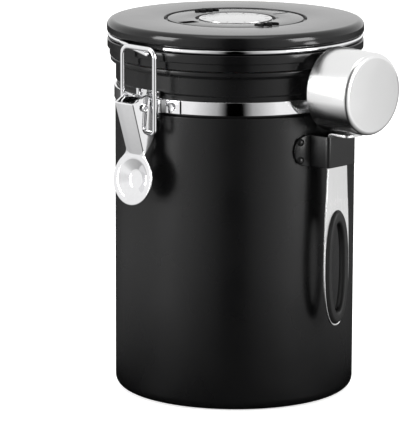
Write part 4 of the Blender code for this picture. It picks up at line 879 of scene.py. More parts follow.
@dataclass(frozen=True)
class Rubber:
    """Matt rubber or silicone: fine grain, dusty high spots."""

    name: str
    colour: Colour
    roughness: float
    soft_light: float = 0.0
    unevenness: float = 0.08
    grain: float = 2600.0
    grain_height: float = 0.00003
    dust: float = 90.0
    dust_gain: float = 1.25
    dust_light: float = 0.002

    def material(self) -> bpy.types.Material:
        """Build the rubber's nodes.

        Returns:
            The material.
        """
        graph = MaterialGraph(self.name)
        here = graph.place()
        grain = graph.noise(here, self.grain, 3.0, 0.6)
        dust = graph.noise(here, self.dust, 4.0, 0.65)
        graph.roughened(grain, self.roughness, self.unevenness)
        dusty = tuple(self.dust_gain * part + self.dust_light for part in self.colour)
        graph.tinted(graph.mapped(dust, (0.4, 0.75)), self.colour, dusty)
        graph.shade(Metallic=0.0, IOR=1.46, Specular_IOR_Level=0.35, Subsurface_Scale=0.002,
                    Subsurface_Weight=self.soft_light,
                    Normal=graph.bump(grain, 0.6, self.grain_height))
        return graph.material


@dataclass(frozen=True)
class Gauze:
    """Woven filter mesh: two sets of round threads that cross, with painted shade in the gaps
    between them.
    """

    name: str = "filter mesh"
    pitch: float = 0.0005
    # painted shade: the dark that shows through the holes between the threads
    gap: Colour = (0.03, 0.03, 0.03)
    thread: Colour = (0.62, 0.62, 0.64)

    def material(self) -> bpy.types.Material:
        """Build the weave's nodes.

        Returns:
            The material.
        """
        graph = MaterialGraph(self.name)
        here = graph.place(None, (TURN / self.pitch,) * 3)
        axes = graph.node("SeparateXYZ", {"Vector": here}).outputs
        waves = (graph.math("ABSOLUTE", graph.math("SINE", axis)) for axis in axes[:2])
        share = graph.mapped(graph.math("MAXIMUM", *waves), (0.55, 0.95))
        # the gaps between threads get the painted shade colour, the threads their own
        graph.tinted(share, self.gap, self.thread)
        graph.shade(Metallic=0.7, Roughness=0.4, Normal=graph.bump(share, 0.8, 0.0001))
        return graph.material


# ---- Studio ----

Steps = tuple[tuple[float, float], ...]
RISING_STEPS: Steps = ((0.0, 0.0), (8.0, 0.0), (10.5, 0.15), (16.0, 0.42), (27.0, 0.66),
                       (40.0, 1.0))


@dataclass(frozen=True)
class SoftBox:
    """A rectangular light that looks at the can: its side is in degrees to the right."""

    name: str
    side: float
    width: float = 0.9
    height: float = 1.6
    light: float = 9.5
    rise: float = 0.7
    reach: float = 2.3
    aim_height: float = 0.1

    def built(self, heading: float) -> None:
        """Hang the box at its side of the camera's direction.

        Args:
            heading: degrees of the camera's direction.
        """
        angle = radians(heading - 90.0 + self.side)
        place = Vector((cos(angle) * self.reach, sin(angle) * self.reach, self.rise))
        data = bpy.data.lights.new(self.name, "AREA")
        data.shape, data.size, data.size_y = "RECTANGLE", self.width, self.height
        data.energy = self.light * pi * self.width * self.height
        toward = Vector((0.0, 0.0, self.aim_height)) - place
        box = linked(self.name, data)
        box.matrix_world = (Matrix.Translation(place)
                            @ toward.to_track_quat("-Z", "Y").to_matrix().to_4x4())
        box.visible_camera = False
        LOG.info("%s: %.1f m from the can", self.name, self.reach)


@dataclass(frozen=True)
class Studio:
    """Pale floor, soft boxes, surroundings, and the camera of the photograph's view.

    The steps are pairs of degrees from the camera's direction, round the can, and
    of how bright mirrors see the surroundings there.
    """

    camera_place: tuple[float, float, float] = (1.127522, -1.167583, 0.418544)
    heading: float = 44.0
    yaw: float = -0.0107260376
    pitch: float = 0.204038012
    roll: float = 0.00286182949
    lens: float = 266.446
    boxes: tuple[SoftBox, ...] = (SoftBox("left box", -66.0), SoftBox("right box", 62.0),
                                  SoftBox("top box", 0.0, 1.6, 1.6, 1.2, 2.6, 0.2))
    floor_radius: float = 3.0
    floor_drop: float = 0.0002
    floor_grey: float = 0.82
    floor_glow: float = 0.6
    # painted shade: to mirrors the floor is black within the inner radius and brightens to full by
    # the outer one
    painted_shade_inner: float = 0.07
    painted_shade_outer: float = 0.34
    floor_steps: Steps = RISING_STEPS + ((68.0, 1.0), (90.0, 0.85), (115.0, 0.45), (140.0, 0.12),
                                         (180.0, 0.04))
    world_steps: Steps = RISING_STEPS + ((180.0, 1.0),)

    def add_camera(self) -> None:
        """Place the camera from its pitch, yaw and roll, turned with the heading."""
        ahead = np.array([sin(self.yaw) * cos(self.pitch), cos(self.yaw) * cos(self.pitch),
                          -sin(self.pitch)])
        right = np.cross(ahead, UP)
        right /= np.linalg.norm(right)
        above = np.cross(right, ahead)
        level = cos(self.roll) * right + sin(self.roll) * above
        raised = -sin(self.roll) * right + cos(self.roll) * above
        spin = turned(radians(self.heading))[:3, :3]
        data = bpy.data.cameras.new("camera")
        data.sensor_width, data.lens, data.clip_start, data.clip_end = 36.0, self.lens, 0.05, 50.0
        camera = linked("camera", data)
        place = frame_matrix(self.camera_place, spin @ level, spin @ raised)
        camera.matrix_world = Matrix(place.tolist())
        bpy.context.scene.camera = camera

    def add_floor(self) -> None:
        """Lay the round floor: white to the camera; to mirrors it glows like the surroundings, with
        painted shade near the can.
        """
        surface = revolved([(0.0, -self.floor_drop), (self.floor_radius, -self.floor_drop)], 96)
        mesh = bpy.data.meshes.new("floor")
        mesh.from_pydata(surface.points.tolist(), [], surface.faces.tolist())
        mesh.validate()
        graph = MaterialGraph("floor")
        rays = graph.node("LightPath", {}).outputs
        graph.shade(Roughness=0.9, Specular_IOR_Level=0.1,
                    Base_Color=(self.floor_grey,) * 3 + (1.0,), Emission_Color=WHITE,
                    Emission_Strength=graph.math("MULTIPLY", rays["Is Camera Ray"],
                                                 self.floor_glow))
        here = graph.node("TexCoord", {}).outputs["Object"]
        distance = graph.node("VectorMath", {0: here}, operation="LENGTH").outputs["Value"]
        # painted shade round the can: the floor's glow to mirrors fades to black towards the can
        out_of_painted_shade = graph.mapped(distance, (self.painted_shade_inner, self.painted_shade_outer))
        around = graph.surroundings(here, self.heading, self.floor_steps)
        seen = graph.node("Emission", {"Strength": graph.math("MULTIPLY", out_of_painted_shade, around)})
        mirrored = graph.math("MAXIMUM", rays["Is Glossy Ray"], rays["Is Transmission Ray"])
        mix = graph.node("MixShader", {0: mirrored, 1: graph.shader.outputs[0],
                                       2: seen.outputs[0]})
        graph.join(graph.tree.nodes["Material Output"], {"Surface": mix.outputs[0]})
        mesh.materials.append(graph.material)
        linked("floor", mesh)

    def add_world(self) -> None:
        """Fill the surroundings: white to the camera, by direction round the can to mirrors."""
        world = bpy.data.worlds.new("studio")
        bpy.context.scene.world = world
        world.use_nodes = True
        world.node_tree.nodes.clear()
        graph = Graph(world.node_tree)
        around = graph.surroundings(graph.node("TexCoord", {}).outputs["Generated"],
                                    self.heading, self.world_steps)
        mirrored = graph.node("Background", {"Color": WHITE, "Strength": around})
        plain = graph.node("Background", {"Color": WHITE})
        mix = graph.node("MixShader", {
            0: graph.node("LightPath", {}).outputs["Is Camera Ray"],
            1: mirrored.outputs[0], 2: plain.outputs[0]})
        graph.node("OutputWorld", {"Surface": mix.outputs[0]})

    def built(self) -> None:
        """Set up camera, surroundings, floor and lights."""
        self.add_camera()
        self.add_world()
        self.add_floor()
        for box in self.boxes:
            box.built(self.heading)
        bpy.context.scene.view_settings.view_transform = "Standard"


# ---- The can ----

@dataclass
class Can:
    """The deep-drawn steel can: pressed base, band groove, neck and rolled rim."""

    radius: float = 0.0600
    wall: float = 0.0008
    base_rounding: float = 0.0048
    bead_middle: float = 0.0470
    bead_width: float = 0.0040
    bead_depth: float = 0.0008
    groove_radius: float = 0.0590
    groove_bottom: float = 0.1464
    groove_top: float = 0.1560
    groove_slope: float = 0.0009
    neck_radius: float = 0.0597
    neck_top: float = 0.1648
    rim_radius: float = 0.0623
    rim_bottom: float = 0.1660
    rim_top: float = 0.1688
    rim_rounding: float = 0.0010
    roll_foot_rounding: float = 0.0002
    rounding: float = 0.0004
    shoulder_rounding: float = 0.0006

    def profile(self) -> np.ndarray:
        """Draw the wall from the inside of the base up, over the rim and down to the base.

        Returns:
            Array of (radius, height).
        """
        wall, deep, soft = self.wall, self.bead_depth, self.rounding
        bead_in, bead_out = (self.bead_middle + side * self.bead_width / 2 for side in (-1, 1))
        below, above = self.groove_bottom - self.groove_slope, self.groove_top + self.groove_slope
        return eased([
            (0, wall, 0), (bead_in, wall, soft), (bead_in + deep, wall + deep, soft),
            (bead_out - deep, wall + deep, soft), (bead_out, wall, soft),
            (self.radius - wall, wall, self.base_rounding - wall),
            (self.radius - wall, below, soft),
            (self.groove_radius - wall, self.groove_bottom, soft),
            (self.groove_radius - wall, self.groove_top, soft),
            (self.neck_radius - wall, above, soft),
            (self.neck_radius - wall, self.rim_top, self.rim_rounding),
            (self.rim_radius, self.rim_top, self.rim_rounding),
            (self.rim_radius, self.rim_bottom, self.rim_rounding),
            (self.neck_radius + wall, self.rim_bottom, self.roll_foot_rounding),
            (self.neck_radius, self.neck_top, soft), (self.neck_radius, above, soft),
            (self.groove_radius, self.groove_top, soft),
            (self.groove_radius, self.groove_bottom, soft),
            (self.radius, below, self.shoulder_rounding),
            (self.radius, 0, self.base_rounding), (bead_out, 0, soft),
            (bead_out - deep, deep, soft), (bead_in + deep, deep, soft),
            (bead_in, 0, soft), (0, 0, 0)], steps=7)

    def built(self) -> None:
        """Turn the can's wall and coat it."""
        Piece("can_shell", "can", "satin_black_coat", "canister_body").made(
            revolved(self.profile(), 288), SatinCoat().material())


@dataclass
class NeckBand:
    """The band round the neck: an open strip whose ends fold back in an eye round a rod."""

    inner: float = 0.0593
    outer: float = 0.0605
    middle: float = 0.1505
    height: float = 0.0066
    eye_side: float = 0.0085
    eye_middle_radius: float = 0.0614
    eye_radius: float = 0.0021
    eye_hole: float = 0.00125
    eye_start: float = 50.0
    eye_end: float = -180.0
    fold_thickness: float = 0.0010
    fold_slack: float = 0.00004
    fold_side: float = 0.0190
    fold_meets: float = 2.6
    band_meets: float = 1.6
    edge: float = 0.00025
    dimple_side: float = 0.0151
    dimple_radius: float = 0.0040
    dimple_stand: float = 0.0034
    sharp: float = 32.0

    def half_path(self) -> tuple[np.ndarray, np.ndarray]:
        """Draw the right half of the strip's middle line, from the fold's end to the rear.

        Returns:
            Plan points, and the strip's thickness at each of them.
        """
        eye = np.array([self.eye_side, -sqrt(self.eye_middle_radius ** 2 - self.eye_side ** 2)])
        turn = np.degrees(np.arctan2(eye[1], eye[0]))
        fold_radius = self.outer + self.fold_thickness / 2
        fold_end = azimuth_of(self.fold_side, fold_radius) - 90
        curl = (self.eye_radius + self.eye_hole) / 2
        parts = [arc_points((0, 0), fold_radius, fold_end, turn + self.fold_meets, 10),
                 arc_points(eye, curl, turn + self.eye_start, turn + self.eye_end, 26),
                 arc_points((0, 0), (self.inner + self.outer) / 2, turn + self.band_meets, 90, 120)]
        thickness = np.repeat([self.fold_thickness - self.fold_slack,
                               self.eye_radius - self.eye_hole, self.outer - self.inner],
                              [len(part) for part in parts])
        return np.vstack(parts), thickness

    def built(self, steel: bpy.types.Material) -> None:
        """Carry the strip along both halves of its line and press the dimple.

        Args:
            steel: the band's finish.
        """
        path, thickness = self.half_path()
        whole = np.vstack([path, path[-2::-1] * (-1.0, 1.0)])
        half = np.concatenate([thickness, thickness[-2::-1]]) / 2
        strip = ribbon(whole, half, self.height / 2, self.edge).placed(shifted(z=self.middle))
        band = Piece("neck_strip", "can", "polished_steel", "neck_band").made(strip, steel)
        face = self.outer + self.fold_thickness
        turn = np.linspace(0.0, pi, 25)
        ball = revolved(self.dimple_radius * np.column_stack([np.sin(turn), np.cos(turn)]), 48)
        place = side_frame(azimuth_of(self.dimple_side, face), face + self.dimple_stand,
                           self.middle)
        cut_from(band, [ball.placed(place)], self.sharp)


# ---- Rear hinge and ring wire ----

@dataclass
class RingWire:
    """One wire round the lid: front end, right side, rear hinge, left side and hook."""

    wire_radius: float = 0.0012
    ring_radius: float = 0.0626
    height: float = 0.1786
    end_side: float = 0.0112
    leave_azimuth: float = 155.0
    leg_side: float = 0.0150
    hinge_reach: float = 0.0665
    hinge_height: float = 0.1510
    bend: float = 0.0030
    hook_start: float = -0.0208
    hook_end: float = 0.0047
    hook_reach: float = 0.0654
    hook_ease: float = 3.2
    hook_drop: float = 0.0032
    drop_start_share: float = 0.25
    drop_power: float = 1.5
    spacing: float = 0.0009

    def hook(self) -> np.ndarray:
        """Draw the hook.

        Along its side s from 0 to 1 it stands at hook reach - (hook reach -
        start reach)(1 - s)^ease, and falls by drop x ((s - 1/4) / (3/4))^power.

        Returns:
            Array of points x 3.
        """
        share = np.linspace(0.0, 1.0, 40)
        start = sqrt(self.ring_radius ** 2 - self.hook_start ** 2)
        reach = self.hook_reach - (self.hook_reach - start) * (1.0 - share) ** self.hook_ease
        fall = np.clip(share - self.drop_start_share, 0.0, None) / (1.0 - self.drop_start_share)
        side = self.hook_start + (self.hook_end - self.hook_start) * share
        return np.stack([side, -reach, self.height - self.hook_drop * fall ** self.drop_power], -1)

    def arc(self, start: float, end: float, steps: int) -> np.ndarray:
        """Draw part of the ring between two azimuths, at its height."""
        plan = arc_points((0, 0), self.ring_radius, start - 90, end - 90, steps)
        return np.column_stack([plan, np.full(len(plan), self.height)])

    def path(self) -> np.ndarray:
        """Draw the whole wire from its plain end to the hook.

        Returns:
            Array of points x 3.
        """
        right = self.arc(azimuth_of(self.end_side, self.ring_radius), self.leave_azimuth, 120)
        left = self.arc(-self.leave_azimuth, azimuth_of(self.hook_start, self.ring_radius), 110)
        side, reach, low, bend = self.leg_side, self.hinge_reach, self.hinge_height, self.bend
        legs = eased([(*right[-1], 0), (side, reach, self.height, bend), (side, reach, low, bend),
                      (-side, reach, low, bend), (-side, reach, self.height, bend),
                      (*left[0], 0)], steps=10)
        return np.vstack([right, legs[1:-1], left[:-1], self.hook()])

    def built(self, steel: bpy.types.Material) -> None:
        """Carry the wire's circle along its line, in this finish."""
        Piece("ring_wire", "lid", "polished_steel", "lid_ring_wire").made(
            wire(evened(self.path(), self.spacing), self.wire_radius), steel)


@dataclass
class Rivet:
    """A round-head rivet along +Z, its head's underside at zero."""

    share: float = 1.0
    head_radius: float = 0.0018
    head_height: float = 0.0009
    dome_power: float = 2.4
    shank_radius: float = 0.0010
    shank_length: float = 0.0012
    edge: float = 0.0001

    def surface(self) -> Surface:
        """Turn the dome, with a small upright rim, and the shank.

        The dome's height is the rim's plus the rest x (1 - (r / R)^power).

        Returns:
            A closed surface.
        """
        radius, height = self.head_radius * self.share, self.head_height * self.share
        r = np.linspace(0.0, 1.0, 14)
        dome = self.edge + (height - self.edge) * (1.0 - r ** self.dome_power)
        foot = [[radius, 0.0], [self.shank_radius, 0.0], [self.shank_radius, -self.shank_length],
                [0.0, -self.shank_length]]
        return revolved(np.vstack([np.column_stack([radius * r, dome]), foot]), 32)


@dataclass
class RearHinge:
    """The rear hinge leaf and its two rivets."""

    bevel: float = 0.00018
    rivet_share: float = 0.8
    rivet_side: float = 0.0070
    rivet_reach: float = 0.0621
    rivet_height: float = 0.1490

    def built(self, steel: bpy.types.Material) -> None:
        """Soften the leaf's edges and set its rivets.

        Args:
            steel: finish of leaf and rivets.
        """
        Piece("hinge_leaf", "can", "polished_steel", "hinge_plate").refined(steel, self.bevel)
        rear = side_frame(180.0, self.rivet_reach, self.rivet_height)
        rivet = Rivet(self.rivet_share).surface()
        for number, side in enumerate((-1, 1), 1):
            place = rear @ shifted(side * self.rivet_side)
            Piece(f"hinge_leaf_rivet_{number}", "can", "polished_steel",
                  f"hinge_rivet_{number}").made(rivet.placed(place), steel)


# ---- Toggle latch ----

@dataclass
class ToggleLatch:
    """Base, pin, lever and loop of the toggle latch."""

    pivot_reach: float = 0.0709
    pivot_height: float = 0.1503
    tilt: float = 17.0
    wall: float = 0.0010
    front: float = 0.0060
    front_half_widths: tuple[float, float] = (0.0064, 0.0061)
    rear_half_widths: tuple[float, float] = (0.0076, 0.0067)
    front_rounding: float = 0.0013
    inner_rounding_share: float = 0.4
    rounding_limit: float = 0.45
    least_depth: float = 0.00001
    front_crown: float = 0.00032
    crown_share: float = 0.7
    crown_reach: float = 0.8
    front_top: float = -0.0039
    straight_top: float = -0.0034
    rear_top: float = -0.0054
    rear: float = -0.0039
    belly_bottom: float = 0.0142
    heel: float = 0.0182
    heel_out: float = -0.0008
    neck: float = 0.0227
    flare_start: float = 0.0025
    flare_edge: float = 0.0004
    flare_proud: float = 0.00003
    bend_radius: float = 0.0050
    pad_lift: float = 26.0
    pad_centre: float = 0.0122
    pad_radius: float = 0.0131
    pad_proud: float = 0.0001
    pad_rounding: float = 0.00045
    dish_radius: float = 0.0100
    dish_floor: float = 0.0044
    dish_depth: float = 0.0030
    dish_rim_rounding: float = 0.0020
    dish_floor_rounding: float = 0.0022
    pin_radius: float = 0.0013
    pin_head: float = 0.0020
    pin_head_height: float = 0.0008
    pin_hollow: float = 0.0010
    pin_hollow_depth: float = 0.0014
    pin_roundings: tuple[float, float, float, float] = (0.0002, 0.0004, 0.0005, 0.0001)
    gap: float = 0.0003
    loop_out: float = 0.0005
    loop_along: float = 0.0131
    loop_half_width: float = 0.0110
    loop_top: float = 0.1787
    loop_reach: float = 0.0676
    loop_top_bend: float = 0.0042
    loop_foot_bend: float = 0.0020
    loop_end_side: float = 0.0042
    loop_spacing: float = 0.0006
    base_half_width: float = 0.0078
    base_height: float = 0.1505
    base_reach: float = 0.0615
    base_bevel: float = 0.00018
    cutter_half_width: float = 0.004
    cutter_half_depth: float = 0.012
    cutter_half_height: float = 0.010
    wire_radius: float = 0.0012
    sharp: float = 34.0

    def lever_frame(self) -> np.ndarray:
        """Place the lever: X sideways, Y outwards from its front, Z down along it."""
        tilt = radians(self.tilt)
        return frame_matrix((0.0, -self.pivot_reach, self.pivot_height), X_AXIS,
                            (0.0, -cos(tilt), -sin(tilt)))

    def half_width(self, along: np.ndarray | float, out: np.ndarray | float) -> Any:
        """Measure half the lever's width, which tapers to the neck and splays towards the can.

        Args:
            along: distance below the pivot.
            out: distance out from the pivot.

        Returns:
            The half width there.
        """
        share = (along - self.rear_top) / (self.neck - self.rear_top)
        front, rear = (top + (foot - top) * share
                       for top, foot in (self.front_half_widths, self.rear_half_widths))
        return front + (rear - front) * (self.front - out) / (self.front - self.rear)

    def channel_line(self, rear_half: float, back: float, front_half: float, front: float,
                     rounding: float, crown: float) -> np.ndarray:
        """Draw one line of the lever's U, from cheek to cheek over the front.

        The front stands proud by crown x (1 - (share / crown reach)^2), where the
        share runs across it.

        Args:
            rear_half: half the width at the cheeks' rear edges.
            back: where the cheeks' rear edges lie.
            front_half: half the width at the front.
            front: where the front lies.
            rounding: radius of the corners.
            crown: how far the front's middle stands proud.

        Returns:
            Array of points x 2.
        """
        spread = np.linspace(-self.crown_share, self.crown_share, 9)
        swell = front + crown * (1.0 - (spread / self.crown_reach) ** 2)
        return eased([(-rear_half, back, 0), (-front_half, front, rounding),
                      *zip(spread * front_half, swell, np.zeros(len(spread))),
                      (front_half, front, rounding), (rear_half, back, 0)])

    def channel(self) -> Surface:
        """Loft the lever's channel.

        Each section is a U: two cheeks joined by the front, all of one wall, with
        the outer corners rounded. Its rear edge follows straight lines from the
        top to the belly, the heel and the neck, where the cheeks run out. A point
        between rear and front lies as far along as its share of the depth.

        Returns:
            A closed surface.
        """
        wall = self.wall
        along = np.concatenate([[self.front_top],
                                np.linspace(self.straight_top, self.belly_bottom, 16),
                                np.linspace(self.belly_bottom, self.heel, 6)[1:],
                                np.linspace(self.heel, self.neck, 8)[1:]])
        rear_along = np.interp(along, [self.front_top, self.belly_bottom],
                               [self.rear_top, self.belly_bottom])
        rear_along = np.where(along > self.belly_bottom, along, rear_along)
        rear = np.interp(along, [self.front_top, self.belly_bottom, self.heel, self.neck],
                         [self.rear, self.rear, self.heel_out, self.front - wall])
        sections = []
        for front_at, rear_at, back in zip(along, rear_along, rear):
            front_half = self.half_width(front_at, self.front)
            rear_half = self.half_width(rear_at, back)
            depth = self.front - back
            soft = min(self.front_rounding, self.rounding_limit * depth)
            inside = min(back, self.front - wall - self.least_depth)
            outer = self.channel_line(rear_half, back, front_half, self.front, soft,
                                      self.front_crown)
            inner = self.channel_line(rear_half - wall, inside, front_half - wall,
                                      self.front - wall, soft * self.inner_rounding_share, 0.0)
            loop = np.vstack([outer, inner[::-1]])
            share = np.clip((loop[:, 1] - back) / depth, 0.0, 1.0)
            sections.append(np.column_stack([loop, rear_at + (front_at - rear_at) * share]))
        return capped(np.array(sections))

    def pad(self) -> Surface:
        """Turn the dished thumb pad with its rolled edge, on the bent end of the lever.

        Returns:
            A closed surface.
        """
        wall, lift = self.wall + 2 * self.pad_proud, radians(self.pad_lift)
        deep, edge = self.dish_depth, self.pad_rounding
        rim, floor = self.dish_rim_rounding, self.dish_floor_rounding
        upper = [(0, -deep, 0), (self.dish_floor, -deep, floor), (self.dish_radius, 0, rim),
                 (self.pad_radius, 0, edge)]
        lower = [(radius, height - wall, soft) for radius, height, soft in upper[::-1]]
        outward = np.array([0.0, cos(lift), -sin(lift)])
        down = np.array([0.0, sin(lift), cos(lift)])
        origin = (np.array([0.0, self.front, self.neck]) + self.pad_centre * down
                  + self.pad_proud * outward)
        dish = revolved(eased(upper + lower, steps=8), 96)
        return dish.placed(frame_matrix(origin, X_AXIS, -down))

    def bent(self, side: np.ndarray, along: np.ndarray, depth: np.ndarray) -> np.ndarray:
        """Lay points of the flat front sheet along its bend at the neck.

        Up to the bend the sheet lies at the front. It then turns outwards on an
        arc of the bend radius, through the pad's lift, and runs straight on.

        Args:
            side: distance sideways of each point.
            along: distance below the pivot, measured along the sheet.
            depth: distance behind the sheet's front.

        Returns:
            The points in the lever's frame.
        """
        lift, radius = radians(self.pad_lift), self.bend_radius
        half_arc = radius * tan(lift / 2)
        angle = lift * np.clip((along - self.neck + half_arc) / (2 * half_arc), 0.0, 1.0)
        before = np.minimum(along, self.neck - half_arc)
        after = np.maximum(along - self.neck - half_arc, 0.0)
        out = self.front + radius + after * sin(lift) - (radius + depth) * np.cos(angle)
        down = before + after * cos(lift) + (radius + depth) * np.sin(angle)
        return np.stack([side, out, down], -1)

    def flare(self) -> Surface:
        """Widen the sheet from the neck into the pad.

        Its edge is the curve (1 - a)^2 P + 2 a (1 - a) Q + a^2 R: P lies on the
        neck's side, R on the pad's rim at 45 degrees, and Q where the rim's
        tangent meets the neck's side. Its middle line runs straight to the rim,
        and a point a share v from the middle lies v^2 of the way from the middle
        line's length to the edge's.

        Returns:
            A closed surface.
        """
        soft = self.flare_edge
        start = self.neck - self.flare_start
        width = self.half_width(start, self.front)
        centre = self.neck + self.pad_centre
        rim = (self.pad_radius - self.flare_proud) * cos(pi / 4)
        corner = centre - rim - (rim - width)
        share = np.linspace(0.0, 1.0, 22)[:, None]
        fall = 1.0 - share
        near, between, far = fall ** 2, 2 * share * fall, share ** 2
        half = near * (width - soft) + between * width + far * rim - soft
        edge = near * start + between * corner + far * (centre - rim)
        middle = start + share * (centre - (self.dish_radius + self.pad_radius) / 2 - start)
        flat, level = np.linspace(-1.0, 1.0, 17), np.zeros(17)
        turn = np.linspace(0.0, pi, 10)[1:-1]
        rounded = np.where(turn < QUARTER, soft * (1 - np.cos(turn)),
                           self.wall - soft * (1 + np.cos(turn)))
        swell = soft * np.sin(turn)
        across = np.concatenate([flat, np.ones(len(turn)), flat[::-1], -np.ones(len(turn))])
        extra = np.concatenate([level, swell, level, -swell])
        depth = np.concatenate([level, rounded, level + self.wall, rounded[::-1]])
        along = middle + (edge - middle) * across ** 2
        depth = np.broadcast_to(depth - self.flare_proud, along.shape)
        return capped(self.bent(half * across + extra, along, depth))

    def loop_path(self) -> np.ndarray:
        """Draw the loop from one foot over the bar to the other foot.

        Returns:
            Array of points x 3.
        """
        foot = self.lever_frame() @ np.array([0.0, self.loop_out, self.loop_along, 1.0])
        y, z, half, end = foot[1], foot[2], self.loop_half_width, self.loop_end_side
        top = (-self.loop_reach, self.loop_top, self.loop_top_bend)
        return eased([(-end, y, z, 0), (-half, y, z, self.loop_foot_bend), (-half, *top),
                      (half, *top), (half, y, z, self.loop_foot_bend), (end, y, z, 0)], steps=14)

    def pin(self) -> Surface:
        """Turn the pin, a hollow rivet whose ends are rolled outwards.

        Returns:
            A closed surface.
        """
        inner = self.half_width(-self.pin_head, -self.pin_head) + self.gap
        outer = inner + self.pin_head_height
        floor = outer - self.pin_hollow_depth
        pit, mouth, rim, foot = self.pin_roundings
        half = eased([(0, floor, 0), (self.pin_hollow, floor, pit),
                      (self.pin_hollow, outer, mouth), (self.pin_head, outer, rim),
                      (self.pin_head, inner, foot), (self.pin_radius, inner, 0)])
        profile = np.vstack([half, half[::-1] * (1.0, -1.0)])
        place = frame_matrix((0.0, -self.pivot_reach, self.pivot_height), (0.0, -1.0, 0.0), UP)
        return revolved(profile, 36).placed(place)

    def base(self, steel: bpy.types.Material) -> None:
        """Soften the base plate's edges and trim both its sides.

        Args:
            steel: its finish.
        """
        base = Piece("latch_plate", "can", "polished_steel", "latch_base").refined(
            steel, self.base_bevel)
        wide, deep, tall = self.cutter_half_width, self.cutter_half_depth, self.cutter_half_height
        outline = np.array([(-wide, -deep), (wide, -deep), (wide, deep), (-wide, deep)])
        middle = self.base_half_width + wide
        cut_from(base, [prism(outline, -tall, tall).placed(
            shifted(side * middle, -self.base_reach, self.base_height)) for side in (-1, 1)], None)

    def built(self, steel: bpy.types.Material) -> None:
        """Make the latch's four pieces.

        Args:
            steel: their finish.
        """
        self.base(steel)
        Piece("latch_pivot", "can", "polished_steel", "latch_pin").made(self.pin(), steel)
        lever = (self.channel() + self.pad() + self.flare()).placed(self.lever_frame())
        Piece("latch_handle", "lever", "polished_steel", "latch_lever", self.sharp).made(
            lever, steel)
        Piece("latch_wire", "loop", "polished_steel", "latch_loop").made(
            wire(evened(self.loop_path(), self.loop_spacing), self.wire_radius, 24), steel)


# ---- Lid ----

